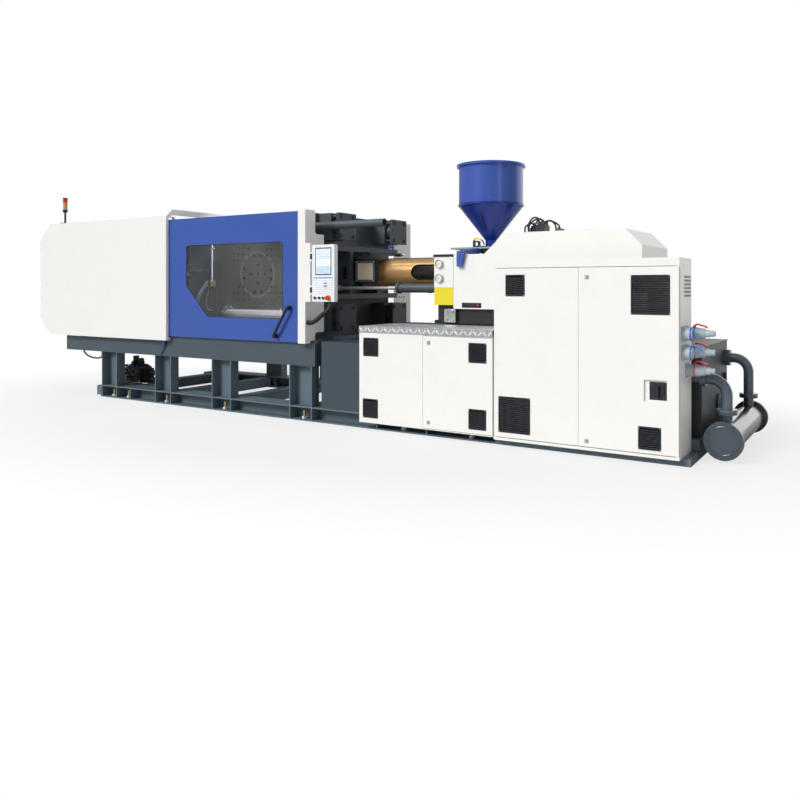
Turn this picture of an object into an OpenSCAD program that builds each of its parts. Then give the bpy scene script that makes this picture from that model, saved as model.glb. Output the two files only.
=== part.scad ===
// Toggle-clamp injection moulding machine, mould open, injection unit forward.
// X runs from the clamp end to the injection end, Z is up, the operator stands at -Y.
// The origin is on the floor, on the injection axis, under the mould face of the fixed platen.

/* [Layout] */
// Height of the injection axis above the floor
axis_z = 1352; // [1342:1:1362]
// Width of the base over its outer faces
base_w = 1720; // [1700:2:1740]
// Height of the lower rail weldment
rail_h = 130; // [120:1:135]
// Top of the upper beams above the floor
beam_top = 705; // [700:1:712]
// Height of the upper beams
beam_h = 208; // [180:1:220]
// Width of one upper beam
beam_w = 115; // [105:1:125]
// Clamp end of the upper beams
beam_x0 = -3196; // [-3220:2:-3170]
// Injection end of the upper beams
beam_x1 = 525; // [515:1:535]
// Clamp end of the lower rails
rail_x0 = -2565; // [-2575:1:-2555]
// Injection end of the whole base
rail_x1 = 3811; // [3805:1:3815]
// Width of one lower rail
rail_w = 220; // [200:2:230]
// Plate thickness of the rails and posts
plate_t = 12; // [8:1:16]

/* [Platens and tie bars] */
// Distance between tie bar centres, both ways
bar_pitch = 860; // [850:2:870]
// Tie bar diameter
bar_d = 120; // [110:1:126]
// Width of each platen
platen_w = 1180; // [1160:2:1190]
// Height of each platen
platen_h = 1120; // [1110:2:1130]
// Thickness of the fixed platen slab
fixed_t = 300; // [280:2:310]
// Reach of the nut bosses behind the mould face
boss_x = 455; // [445:1:462]
// Distance from the fixed platen to the moving platen at rest
daylight = 1040; // [1030:1:1050]
// Depth of the moving platen casting
moving_t = 400; // [380:2:410]
// Thickness of the moving platen's mould slab
slab_t = 140; // [120:1:150]
// Thickness of the tail stock
tail_t = 300; // [280:2:310]
// Centring bore for the mould's locating ring
ring_d = 160; // [150:1:170]
// Depth of the centring bore
ring_depth = 20; // [18:1:24]
// Spacing of the tapped holes for mould clamps
hole_pitch = 70; // [66:1:72]
// Diameter of the tapped holes
hole_d = 20; // [16:1:24]
// Diameter of the ejector holes
eject_d = 38; // [34:1:40]
// Ejector stroke
eject_stroke = 150; // [100:5:160]

/* [Toggle] */
// Height of the tail pins above and below the axis
tail_pin_z = 480; // [475:1:485]
// Height of the platen pins above and below the axis
platen_pin_z = 500; // [495:1:503]
// Length of a rear link between pins
rear_link = 420; // [412:1:426]
// Length of a front link between pins
front_link = 620; // [610:1:630]
// Angle through which a rear link folds
fold_angle = 100; // [97:1:101]
// Distance from the tail pin to the crosshead link's pin
third_r = 260; // [250:1:265]
// Angle of that pin below the rear link's line
third_a = 25; // [23:1:27]
// Length of a crosshead link between pins
cross_link = 270; // [262:1:276]
// Height of the crosshead pins above and below the axis
cross_pin_z = 140; // [134:1:146]
// Diameter of the main toggle pins
pin_d = 70; // [60:1:74]
// Width across a link's eye
eye_d = 120; // [112:1:124]
// Thickness of one link plate
link_t = 36; // [30:1:38]
// Gap between a link plate and its neighbour
link_gap = 4; // [2:1:6]
// Reach of the tail lugs from the tail stock to their pins
lug_reach = 220; // [215:1:230]

/* [Guards] */
// Outer face of the clamp cover, distance from the axis
cover_y = 925; // [922:1:930]
// Left end of the clamp cover
cover_x0 = -3610; // [-3630:2:-3590]
// Right end of the clamp cover
cover_x1 = -1400; // [-1410:1:-1395]
// Lower edge of the clamp cover
cover_z0 = 665; // [660:1:668]
// Upper edge of the clamp cover
cover_z1 = 1940; // [1936:1:1944]
// Corner cut of the clamp cover
cover_cut = 192; // [150:1:220]
// Depth of the folded edges of the cover
cover_fold = 32; // [28:1:33]
// Sheet thickness of covers, doors and cabinets
sheet = 3; // [2:0.5:4]
// Height of the top bridge above the cover
bridge_rise = 72; // [60:1:80]
// Depth of the sliding doors
door_t = 30; // [24:1:31]
// Right edge of the front door
door_x1 = 395; // [390:1:398]
// Top edge of the doors
door_z1 = 1902; // [1899:1:1903]
// Right face of the guard post on the operator's side
post_x = 471; // [468:1:475]
// Right face of the guard post on the far side
far_post_x = 361; // [355:1:366]
// Width of the guard posts
post_w = 86; // [80:1:90]

/* [Control panel] */
// Width of the panel housing
hmi_w = 252; // [244:1:256]
// Height of the panel housing
hmi_h = 502; // [490:1:510]
// Depth of the panel housing
hmi_t = 58; // [50:1:62]
// Lower edge of the panel housing
hmi_z0 = 1083; // [1078:1:1088]

/* [Injection unit] */
// Screw diameter
screw_d = 60; // [55:1:64]
// Barrel outer diameter
barrel_d = 150; // [140:1:156]
// Diameter of the barrel cover
jacket_d = 264; // [258:1:268]
// Distance from the cover's nozzle end to the middle of its slot's round end
jacket_slot_at = 695; // [650:5:760]
// Width of the slot on the operator's side of the barrel cover
jacket_slot_w = 144; // [120:2:160]
// Injection stroke of the screw
inject_stroke = 250; // [200:5:255]
// Centre of the hopper and feed throat
throat_x = 1855; // [1850:1:1860]
// Bore of the feed throat
throat_d = 70; // [60:1:74]
// Half width of the hood
hood_y = 375; // [370:1:380]
// Injection end of the hood
hood_x1 = 3340; // [3335:1:3350]
// Top of the hood
hood_top = 1667; // [1660:1:1675]
// Deck height of the injection base
deck_z = 825; // [820:1:828]
// Lower face of the carriage
sled_z0 = 888; // [886:1:892]
// Upper face of the carriage
sled_z1 = 1022; // [1015:1:1028]
// Hopper cylinder diameter
hopper_d = 580; // [560:2:600]
// Height of the hopper's cylinder
hopper_h = 372; // [350:2:390]
// Height of the hopper's cone
cone_h = 306; // [290:2:320]

/* [Cabinets] */
// Outer face of the cabinets, distance from the axis
cab_y = 930; // [928:1:934]
// Depth of the electrical cabinet
cab_depth = 350; // [340:1:352]
// Clamp end of the electrical cabinet
cab_x0 = 2360; // [2356:1:2364]
// Injection end of the electrical cabinet
cab_x1 = 3752; // [3745:1:3758]
// Split between the two cabinet doors
cab_split = 3040; // [3030:1:3050]
// Underside of the electrical cabinet
cab_z0 = 50; // [44:1:54]
// Top of the electrical cabinet
cab_z1 = 1413; // [1405:1:1420]
// Height of the cabinet's header above its doors
header_h = 56; // [50:1:62]
// Thickness of cabinet doors
leaf_t = 24; // [20:1:28]
// Clamp end of the low cabinet
low_x0 = 1077; // [1072:1:1082]
// Split between the low cabinet's panel and its door
low_split = 1715; // [1708:1:1722]
// Underside of the low cabinet
low_z0 = 66; // [60:1:72]
// Top of the tread plate
tread_z = 882; // [880:1:884]

/* [Oil tank and cooler] */
// Injection end face of the tank
tank_x1 = 3800; // [3795:1:3805]
// Top of the tank
tank_z1 = 780; // [770:1:790]
// Cooler axis along the machine
cooler_x = 3980; // [3975:1:3990]
// Cooler axis above the floor
cooler_z = 155; // [152:1:160]
// Cooler shell diameter
cooler_d = 210; // [200:1:216]
// Cooler flange diameter
cooler_flange = 266; // [258:1:270]
// Outer diameter of the oil pipes
pipe_d = 76; // [70:1:80]

/* [Clearances] */
// Radial clearance of a pin or shaft that turns or slides in its bore
run_fit = 0.05; // [0.02:0.01:0.1]
// Gap between pieces that slide or seat on each other
seat_gap = 0.3; // [0.2:0.05:0.5]
// Gap round doors and panels
door_gap = 3; // [2:0.5:4]

/* [Hidden] */
$fn = 48;
eps = 1;
// Tip of the nozzle with the carriage run forward, just behind the mould's locating ring
nozzle_x = ring_depth + 4;

// Colours
slate = [0.30, 0.35, 0.38];
white = [0.93, 0.93, 0.90];
blue = [0.26, 0.38, 0.70];
steel = [0.75, 0.76, 0.78];
iron = [0.27, 0.30, 0.32];
black = [0.10, 0.10, 0.11];
gold = [0.75, 0.57, 0.33];

// Derived places of the base
base_y = base_w / 2;
beam_y = base_y - beam_w;
rail_in = base_y - rail_w;
way_z = beam_top + 20;
way_y0 = base_y - beam_w + 10;
way_y1 = base_y - 25;
foot_y = way_y1;
post_list = [[-2548, -2284], [-1657, -1408], [-805, -538], [216, 487]];
cross_list = [-2730, -2416, -1532, -672, 352];
inj_x0 = 600;
step_x = 1054;
inj_x1 = 3280;
wide_x1 = cab_x0 - 10;
skid_h = cab_z0;

// Derived places of the clamp, the tail pin being the toggle's own origin
half_bar = bar_pitch / 2;
bar_r = bar_d / 2;
face_x = -daylight;
platen_pin_x = face_x - moving_t - 110;
eject_x = face_x - slab_t - eject_stroke - 5;
knee_open = [rear_link * cos(fold_angle), tail_pin_z - rear_link * sin(fold_angle)];
front_open = sqrt(pow(front_link, 2) - pow(platen_pin_z - knee_open[1], 2));
front_shut = sqrt(pow(front_link, 2) - pow(platen_pin_z - tail_pin_z, 2));
tail_pin_x = platen_pin_x - knee_open[0] - front_open;
tail_x1 = tail_pin_x - lug_reach;
tail_x0 = tail_x1 - tail_t;
stroke = rear_link + front_shut - knee_open[0] - front_open;
third_open = [third_r * cos(third_a + fold_angle), tail_pin_z - third_r * sin(third_a + fold_angle)];
third_shut = [third_r * cos(third_a), tail_pin_z - third_r * sin(third_a)];
cross_open = third_open[0] + sqrt(pow(cross_link, 2) - pow(third_open[1] - cross_pin_z, 2));
cross_shut = third_shut[0] + sqrt(pow(cross_link, 2) - pow(third_shut[1] - cross_pin_z, 2));
cross_stroke = cross_shut - cross_open;
cross_x = tail_pin_x + cross_open;
rod_d = 80;
guide_y = 290;
guide_d = 50;
cyl_x0 = tail_x0 - 560;
inner_y = 60;
outer_y = inner_y + link_t + link_gap;
cross_t = 22;

// Derived places of the guards, the tops of covers and doors clearing the platens
top_rise = max(0, axis_z + platen_h / 2 + 28 - cover_z1);
top_z = cover_z1 + top_rise;
door_top_z = door_z1 + top_rise;
door_y = cover_y - cover_fold - door_gap;
door_x0 = cover_x1 - 30;
door_z0 = beam_top + door_gap;
far_door_x1 = far_post_x - post_w + 10;
rail_y0 = door_y - door_t - 50;
window_l = -1134;
window_r = 165;
window_b = 920;
window_t = 1628;
window_cut = 304;
pane_lap = 20;
pane_t = 5;

// Derived places of the injection unit
plate_x0 = 1500;
plate_x1 = 1680;
house_x1 = 2020;
inj_cyl_y = 250;
inj_cyl_x1 = house_x1 + 480;
thrust_x = inj_cyl_x1 + 150;
thrust_t = 110;
head_x = 190;
jacket_x0 = 450;
slide_z = 1556;
slide_t = 16;
hopper_z0 = slide_z + slide_t + seat_gap;
hopper_r = hopper_d / 2;
neck_r = 50;
pull_y = 270;
pull_z = axis_z - 150;
pull_rod_d = 32;
guard_x0 = 462;
guard_x1 = 745;
guard_y = 205;
guard_z1 = axis_z + 183;

// Derived places of the cabinets
door_top = cab_z1 - header_h;
panel_y = cab_y - leaf_t;
hinge_y = cab_y - 8;
back_y = cab_y - cab_depth;

// A box between two corners
module slab(x, y, z) {
  translate([x[0], y[0], z[0]]) cube([x[1] - x[0], y[1] - y[0], z[1] - z[0]]);
}

// A round bar along one axis
module bar_x(d, x, y, z) {
  translate([x[0], y, z]) rotate([0, 90, 0]) cylinder(d = d, h = x[1] - x[0]);
}
module bar_y(d, x, y, z) {
  translate([x, y[1], z]) rotate([90, 0, 0]) cylinder(d = d, h = y[1] - y[0]);
}
module bar_z(d, x, y, z) {
  translate([x, y, z[0]]) cylinder(d = d, h = z[1] - z[0]);
}

// An outline in X and Z drawn out along Y, and one in Y and Z drawn out along X
module along_y(points, y) {
  translate([0, y[1], 0]) rotate([90, 0, 0]) linear_extrude(y[1] - y[0]) polygon(points);
}
module along_x(points, x) {
  translate([x[0], 0, 0]) rotate([90, 0, 90]) linear_extrude(x[1] - x[0]) polygon(points);
}

// The same piece on both sides of the machine, or above and below its axis
module both_sides() {
  children();
  mirror([0, 1, 0]) children();
}
module above_and_below() {
  children();
  translate([0, 0, 2 * axis_z]) mirror([0, 0, 1]) children();
}
module four_bars() {
  for (y = [-half_bar, half_bar], z = [-half_bar, half_bar])
    translate([0, y, axis_z + z]) children();
}

// Points of an arc in degrees
function arc(c, r, a0, a1, n = 8) =
  [for (i = [0:n]) c + r * [cos(a0 + (a1 - a0) * i / n), sin(a0 + (a1 - a0) * i / n)]];

// Base

// A rail is an I section on its side with stiffeners under the posts
module rail(x0, x1, ribs) {
  web_y = base_y - rail_w / 2;
  slab([x0, x1], [-base_y, -rail_in], [0, plate_t]);
  slab([x0, x1], [-base_y, -rail_in], [rail_h - plate_t, rail_h]);
  slab([x0, x1], [-web_y, -web_y + plate_t], [0, rail_h]);
  for (x = ribs)
    slab([x, x + plate_t], [-base_y, -rail_in], [0, rail_h]);
}
module base_rails() {
  ribs = [for (p = post_list, i = [0, 1]) i == 0 ? p[0] : p[1] - plate_t];
  color(slate) {
    rail(rail_x0, wide_x1, concat(ribs, [rail_x0, -2065, 1200, 1700, wide_x1 - plate_t]));
    slab([wide_x1, rail_x1 - 100], [-base_y, -rail_in], [0, skid_h]);
    slab([rail_x0 - 90, rail_x0], [-base_y + 15, -rail_in - 15], [15, rail_h - 12]);
    mirror([0, 1, 0]) {
      rail(rail_x0, rail_x1 - 100, concat(ribs, [rail_x0, -2065, 1200, 1700, 2600, 3400]));
      slab([rail_x0 - 90, rail_x0], [-base_y + 15, -rail_in - 15], [15, rail_h - 12]);
    }
    slab([rail_x1 - 100, rail_x1], [-base_y, eps - back_y], [0, skid_h]);
    slab([rail_x1 - 100, rail_x1], [seat_gap - back_y, base_y], [0, rail_h]);
    slab([wide_x1, rail_x1 - 100], [20 - back_y, 120 - back_y], [0, rail_h]);
    slab([rail_x1 - 500, rail_x1 - 400], [119 - back_y, rail_in], [0, rail_h]);
  }
}

// Channel posts between rails and beams, and cross members below and above
module post(x0, x1) {
  z = [rail_h, beam_top - beam_h];
  depth = 100;
  slab([x0, x0 + plate_t], [-base_y, -base_y + depth], z);
  slab([x1 - plate_t, x1], [-base_y, -base_y + depth], z);
  slab([x0, x1], [-base_y + depth - plate_t, -base_y + depth], z);
}
module base_struts() {
  color(slate) {
    both_sides() for (p = post_list) post(p[0], p[1]);
    for (x = cross_list)
      slab([x - 50, x + 50], [-beam_y, beam_y], [beam_top - 145, beam_top - 15]);
    for (p = post_list)
      slab([p[0] + 60, p[1] - 60], [-rail_in, rail_in], [plate_t, rail_h - plate_t]);
    slab([-120, 120], [-rail_in, rail_in], [0, plate_t]);
  }
}

// Upper beams with the ways for the platens and the doors' guide strips
module clamp_beams() {
  color(slate) both_sides() {
    slab([beam_x0, beam_x1], [-base_y, -beam_y], [beam_top - beam_h, beam_top]);
    slab([beam_x0 + 120, beam_x1], [-way_y1, -way_y0], [beam_top, way_z]);
    slab([cover_x0 + 500, post_x - 60], [-base_y + 4, -base_y + 14], [beam_top, way_z - 2]);
  }
}

// Welded injection base: open below, with an access opening behind the low door
module injection_base() {
  wall = 15;
  y1 = base_y;
  narrow_y = back_y - 10;
  inside_z = [-eps, deck_z - 25];
  color(slate) difference() {
    union() {
      slab([inj_x0, wide_x1], [-y1, y1], [rail_h, beam_top + 22]);
      slab([step_x, wide_x1], [-y1, y1], [rail_h, deck_z]);
      slab([wide_x1 - eps, inj_x1], [-narrow_y, y1], [rail_h, deck_z]);
      both_sides() slab([1100, inj_x1 - 80], [250, 310], [deck_z - eps, sled_z0 - seat_gap]);
    }
    slab([inj_x0 + wall, step_x + wall], [-y1 + wall, y1 - wall], [-eps, beam_top]);
    slab([step_x + wall - eps, wide_x1 - wall], [-y1 + wall, y1 - wall], inside_z);
    slab([wide_x1 - wall - eps, inj_x1 - wall], [-narrow_y + wall, y1 - wall], inside_z);
    slab([low_split + 60, wide_x1 - 80], [-y1 - eps, -y1 + wall + eps], [220, 740]);
    slab([2500, 3200], [y1 - wall - eps, y1 + eps], [220, 700]);
  }
}

// Levelling bolts through the bottom flanges, with lock nuts
module levelling_bolts() {
  spots = [-2400, -2150, -1530, -672, 352, 1450, 2100];
  y = base_y - 55;
  color(steel) both_sides() for (x = spots) {
    bar_z(24, x, -y, [plate_t, 86]);
    translate([x, -y, plate_t]) cylinder(d = 46, h = 22, $fn = 6);
  }
}

// Platens

// Tapped holes in the grid that mould makers use, left clear round the ejector pattern
module clamp_holes(x) {
  rows = [2, 3, 4];
  for (sy = [-1, 1], sz = [-1, 1], i = [2:5], j = rows)
    if (i + j > 4 && i + j < 9)
      bar_x(hole_d, x, sy * i * hole_pitch, axis_z + sz * j * hole_pitch);
}
module fixed_platen() {
  hw = platen_w / 2;
  hh = platen_h / 2;
  z0 = axis_z - hh;
  throat_r = jacket_d / 2 + 28;
  color(iron) difference() {
    union() {
      slab([0, fixed_t], [-hw, hw], [z0, z0 + platen_h]);
      slab([0, fixed_t], [-foot_y, foot_y], [way_z, z0 + 60]);
      four_bars() slab([fixed_t - eps, boss_x], [-125, 125], [-125, 125]);
      slab([fixed_t - eps, 440], [-hw + 30, hw - 30], [axis_z + 205, axis_z + 255]);
      slab([fixed_t - eps, 440], [-hw + 30, hw - 30], [axis_z - 255, axis_z - 205]);
      slab([fixed_t - eps, 440], [-250, -200], [axis_z - 255, axis_z + 255]);
      slab([fixed_t - eps, 440], [200, 250], [axis_z - 255, axis_z + 255]);
    }
    four_bars() bar_x(bar_d + 2 * seat_gap, [-eps, boss_x + eps], 0, 0);
    bar_x(ring_d, [-eps, ring_depth], 0, axis_z);
    bar_x(130, [-eps, 80], 0, axis_z);
    bar_x(2 * throat_r, [60, 460], 0, axis_z);
    slab([320, 400], [-260, -190], [axis_z - 60, axis_z + 60]);
    clamp_holes([-eps, 45]);
    both_sides() bar_x(pull_rod_d + 2 * run_fit, [fixed_t - 60, fixed_t + eps], pull_y, pull_z);
    both_sides() bar_x(58 + 2 * seat_gap, [fixed_t, 441], pull_y, pull_z);
    bar_x(18, [fixed_t + 60, 440 + eps], guard_y + 20, guard_z1);
  }
}
module tie_bars() {
  color(steel) four_bars() {
    bar_x(bar_d, [tail_x0 - 520, 500], 0, 0);
  }
}

// Tie bar nuts, each under a square plate on four spacers
module tie_bar_nuts() {
  side = 125;
  bolt = 92;
  color(iron) four_bars() {
    difference() {
      bar_x(200, [boss_x, boss_x + 60], 0, 0);
      bar_x(bar_d + 2 * seat_gap, [boss_x - eps, 501], 0, 0);
    }
    slab([boss_x + 65, boss_x + 105], [-side, side], [-side, side]);
    for (y = [-bolt, bolt], z = [-bolt, bolt]) {
      bar_x(30, [boss_x, boss_x + 65], y, z);
      translate([boss_x + 105, y, z]) rotate([0, 90, 0]) cylinder(d = 34, h = 12, $fn = 6);
    }
  }
}

// Tail stock with its toggle lugs, pins, mould height nuts and ring gear
module tail_stock() {
  hw = platen_w / 2;
  hh = platen_h / 2;
  z0 = axis_z - hh;
  lug = [outer_y, outer_y + 50];
  color(iron) difference() {
    union() {
      slab([tail_x0, tail_x1], [-hw, hw], [z0, z0 + platen_h]);
      slab([tail_x0, tail_x1], [-foot_y, foot_y], [way_z + seat_gap, z0 + 60]);
      both_sides() above_and_below() along_y([
        [tail_x1 - eps, axis_z + tail_pin_z + eye_d / 2 + 20],
        [tail_pin_x, axis_z + tail_pin_z + eye_d / 2],
        each arc([tail_pin_x, axis_z + tail_pin_z], eye_d / 2, 90, -90, 12),
        [tail_x1 - eps, axis_z + tail_pin_z - eye_d / 2 - 60]], lug);
    }
    four_bars() bar_x(bar_d + 2 * run_fit, [tail_x0 - eps, tail_x1 + eps], 0, 0);
    bar_x(rod_d + 2 * run_fit, [tail_x0 - eps, tail_x1 + eps], 0, axis_z);
    both_sides() bar_x(guide_d + 2 * seat_gap, [tail_x1 - 120, tail_x1 + eps], guide_y, axis_z);
    both_sides() slab([tail_x0 - eps, tail_x1 - 80], [330, 560], [axis_z - 250, axis_z + 250]);
  }
  color(steel) above_and_below()
    bar_y(pin_d, tail_pin_x, [-lug[1], lug[1]], axis_z + tail_pin_z);
  color(steel) four_bars() difference() {
    bar_x(230, [tail_x0 - 90, tail_x0], 0, 0);
    bar_x(bar_d + 2 * run_fit, [tail_x0 - 91, tail_x0 + eps], 0, 0);
  }
  color(iron) difference() {
    bar_x(1010, [tail_x0 - 55, tail_x0 - 25], 0, axis_z);
    bar_x(960, [tail_x0 - 56, tail_x0 - 24], 0, axis_z);
    four_bars() bar_x(232, [tail_x0 - 56, tail_x0 - 24], 0, 0);
  }
}

// Clamp cylinder behind the tail stock, and the two guide rods of the crosshead
module clamp_cylinder() {
  color(iron) difference() {
    union() {
      bar_x(220, [cyl_x0, tail_x0], 0, axis_z);
      bar_x(280, [tail_x0 - 40, tail_x0], 0, axis_z);
      bar_x(260, [cyl_x0, cyl_x0 + 40], 0, axis_z);
    }
    bar_x(160, [cyl_x0 + 30, tail_x0 - 60], 0, axis_z);
    bar_x(rod_d + 2 * run_fit, [tail_x0 - 61, tail_x0 + eps], 0, axis_z);
  }
  color(steel) both_sides()
    bar_x(guide_d, [tail_x1 - 110, tail_pin_x + cross_shut + 91], guide_y, axis_z);
}

// Crosshead with long bushes on its guide rods, its arms ahead of the folding knees
module crosshead() {
  r = cross_t + 30;
  arm_x = [50, 90];
  color(steel) {
    difference() {
      union() {
        slab([cross_x - 60, cross_x + arm_x[1]], [link_gap - inner_y, inner_y - link_gap], [axis_z - 55, axis_z + 55]);
        slab([cross_x + arm_x[0], cross_x + arm_x[1]], [-guide_y, guide_y], [axis_z - 46, axis_z + 46]);
        both_sides() bar_x(guide_d + 46, [cross_x - 60, cross_x + arm_x[1]], guide_y, axis_z);
        slab([cross_x - 45, cross_x + 45], [-28, 28], [axis_z - cross_pin_z, axis_z + cross_pin_z]);
        above_and_below() bar_y(90, cross_x, [-28, 28], axis_z + cross_pin_z);
      }
      both_sides() bar_x(guide_d + 2 * run_fit, [cross_x - 61, cross_x + arm_x[1] + 1], guide_y, axis_z);
    }
    above_and_below() bar_y(44, cross_x, [-r, r], axis_z + cross_pin_z);
    bar_x(rod_d, [cyl_x0 + 60, cross_x - 60 + eps], 0, axis_z);
    bar_x(160 - 2 * seat_gap, [cyl_x0 + 50, cyl_x0 + 110], 0, axis_z);
  }
}

// Outline of a straight link between two eyes, in X and Z
module link_outline(a, b, d) {
  run = b - a;
  translate(a) circle(d = d);
  translate(b) circle(d = d);
  translate(a) rotate(atan2(run[1], run[0])) translate([0, -d * 0.38]) square([norm(run), d * 0.76]);
}

// A plate cut to an outline in X and Z
module plate_y(y) {
  translate([0, y[1], 0]) rotate([90, 0, 0]) linear_extrude(y[1] - y[0]) children();
}

// Rear link: two plates with the third pin's ear; knee and third pins stay in the plates
module rear_link_up() {
  t = [tail_pin_x, axis_z + tail_pin_z];
  k = [tail_pin_x + knee_open[0], axis_z + knee_open[1]];
  p = [tail_pin_x + third_open[0], axis_z + third_open[1]];
  m = t * 0.8 + k * 0.2;
  color(steel) {
    both_sides() plate_y([inner_y, inner_y + link_t]) difference() {
      union() {
        link_outline(t, k, eye_d);
        link_outline(p, t * 0.6 + k * 0.4, 90);
        link_outline(p, k, 70);
      }
      translate(t) circle(d = pin_d + 2 * run_fit);
    }
    bar_y(50, m[0], [-inner_y - eps, inner_y + eps], m[1]);
  }
}
module upper_rear_link() {
  rear_link_up();
}
module lower_rear_link() {
  translate([0, 0, 2 * axis_z]) mirror([0, 0, 1]) rear_link_up();
}

// Front link: two plates outside the rear link, joined by a cross tube near the platen
module front_link_up() {
  k = [tail_pin_x + knee_open[0], axis_z + knee_open[1]];
  p = [platen_pin_x, axis_z + platen_pin_z];
  y = [outer_y, outer_y + link_t];
  mid = p + (k - p) * 0.35;
  color(steel) {
    both_sides() plate_y(y) difference() {
      link_outline(p, k, eye_d);
      translate(p) circle(d = pin_d + 2 * run_fit);
      translate(k) circle(d = pin_d + 2);
    }
    bar_y(70, mid[0], [-outer_y - eps, outer_y + eps], mid[1]);
  }
}
module upper_front_link() {
  front_link_up();
}
module lower_front_link() {
  translate([0, 0, 2 * axis_z]) mirror([0, 0, 1]) front_link_up();
}

// Crosshead link: two thin plates on the cross pin, their far eyes open
module cross_link_up() {
  q = [cross_x, axis_z + cross_pin_z];
  p = [tail_pin_x + third_open[0], axis_z + third_open[1]];
  color(steel) both_sides() plate_y([30, 30 + cross_t]) difference() {
    link_outline(q, p, 84);
    translate(q) circle(d = 44 + 2 * run_fit);
    translate(p) circle(d = 50);
  }
}
module upper_cross_link() {
  cross_link_up();
}
module lower_cross_link() {
  translate([0, 0, 2 * axis_z]) mirror([0, 0, 1]) cross_link_up();
}

// Ejector pattern: centre, inner ring of four, outer set of eight
ejector_spots = concat([[0, 0]], [for (a = [0, 90, 180, 270]) 100 * [cos(a), sin(a)]],
  [for (s = [-1, 1], t = [-1, 1]) [200 * s, 50 * t]], [for (s = [-1, 1], t = [-1, 1]) [50 * s, 200 * t]]);

// Moving platen: mould slab, box walls, tie bar sleeves, toggle lugs with pins, skates
module moving_platen() {
  hw = platen_w / 2;
  hh = platen_h / 2;
  x0 = face_x - moving_t;
  xs = face_x - slab_t;
  wall = 50;
  lug = [inner_y - 5, inner_y + link_t];
  color(iron) difference() {
    union() {
      slab([xs, face_x], [-hw, hw], [axis_z - hh, axis_z + hh]);
      both_sides() slab([x0, face_x], [hw - wall, hw], [axis_z - hh, axis_z + hh]);
      above_and_below() slab([x0, face_x], [-hw, hw], [axis_z + hh - wall, axis_z + hh]);
      four_bars() bar_x(210, [x0, face_x], 0, 0);
      both_sides() slab([x0, face_x - 20], [hw - 20, foot_y], [way_z + seat_gap, axis_z - hh + 60]);
      both_sides() above_and_below() along_y([
        [xs + eps, axis_z + platen_pin_z + 55],
        [platen_pin_x, axis_z + platen_pin_z + 55],
        each arc([platen_pin_x, axis_z + platen_pin_z], 55, 90, 270, 12),
        [platen_pin_x + 60, axis_z + platen_pin_z - 60],
        [xs + eps, axis_z + platen_pin_z - 230]], lug);
    }
    four_bars() bar_x(bar_d + 2 * run_fit, [x0 - eps, face_x + eps], 0, 0);
    for (s = ejector_spots) bar_x(eject_d, [xs - eps, face_x + eps], s[0], axis_z + s[1]);
    clamp_holes([face_x - 45, face_x + eps]);
  }
  color(steel) above_and_below()
    bar_y(pin_d, platen_pin_x, [-outer_y - link_t - 6, outer_y + link_t + 6], axis_z + platen_pin_z);
}

// Ejector cylinder on a yoke across the platen's box
module ejector_cylinder() {
  x0 = face_x - moving_t;
  y = platen_w / 2 - 50;
  color(iron) difference() {
    union() {
      slab([x0 + 5, x0 + 35], [-y, y], [axis_z - 60, axis_z + 60]);
      bar_x(110, [x0 - 110, eject_x - 35], 0, axis_z);
    }
    bar_x(50 + 2 * run_fit, [x0 - 90, eject_x - 34], 0, axis_z);
  }
}

// Ejector plate with its rod and the pins that lie in the platen's holes
module ejector_plate() {
  x0 = face_x - moving_t;
  px = eject_x;
  color(steel) {
    slab([px - 30, px], [-240, 240], [axis_z - 240, axis_z + 240]);
    bar_x(50, [x0 - 80, px - 30 + eps], 0, axis_z);
    for (s = ejector_spots)
      if (norm(s) < 60 || norm(s) > 150)
        bar_x(eject_d - 12, [px - eps, face_x - 20], s[0], axis_z + s[1]);
  }
}

// Guards

// Outline of the clamp cover, moved in by t, with both left corners cut
function cover_outline(t) = [
  [cover_x0 + t, cover_z0 + cover_cut + t * (sqrt(2) - 1)],
  [cover_x0 + cover_cut + t * (sqrt(2) - 1), cover_z0 + t],
  [cover_x1 - t, cover_z0 + t],
  [cover_x1 - t, top_z - t],
  [cover_x0 + cover_cut + t * (sqrt(2) - 1), top_z - t],
  [cover_x0 + t, top_z - cover_cut - t * (sqrt(2) - 1)]];
module cover() {
  color(white) difference() {
    along_y(cover_outline(0), [-cover_y, -cover_y + cover_fold]);
    along_y(cover_outline(sheet), [-cover_y + sheet, -cover_y + cover_fold + eps]);
  }
}
module front_cover() {
  cover();
}
module rear_cover() {
  mirror([0, 1, 0]) cover();
}

// A folded post: front strip, short inner fold and a stepped side plate
module guard_post(x, depth) {
  y0 = -cab_y;
  r = 26;
  foot = way_z + seat_gap;
  slab([x - post_w, x], [y0, y0 + sheet], [beam_top, door_top_z + 5]);
  slab([x - post_w, x - post_w + sheet], [y0, y0 + 22], [beam_top, door_top_z + 5]);
  along_x([[y0, beam_top], [-base_y - eps, beam_top], [-base_y - eps, foot], [y0 + 135, foot],
    [y0 + 135, beam_top + 68],
    each arc([y0 + 135 + r, beam_top + 68], r, 180, 90),
    [y0 + depth, beam_top + 68 + r], [y0 + depth, door_top_z - 182 - r],
    each arc([y0 + 135 + r, door_top_z - 182], r, 270, 180),
    [y0 + 135, door_top_z + 5], [y0, door_top_z + 5]], [x - sheet, x]);
}

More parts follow.
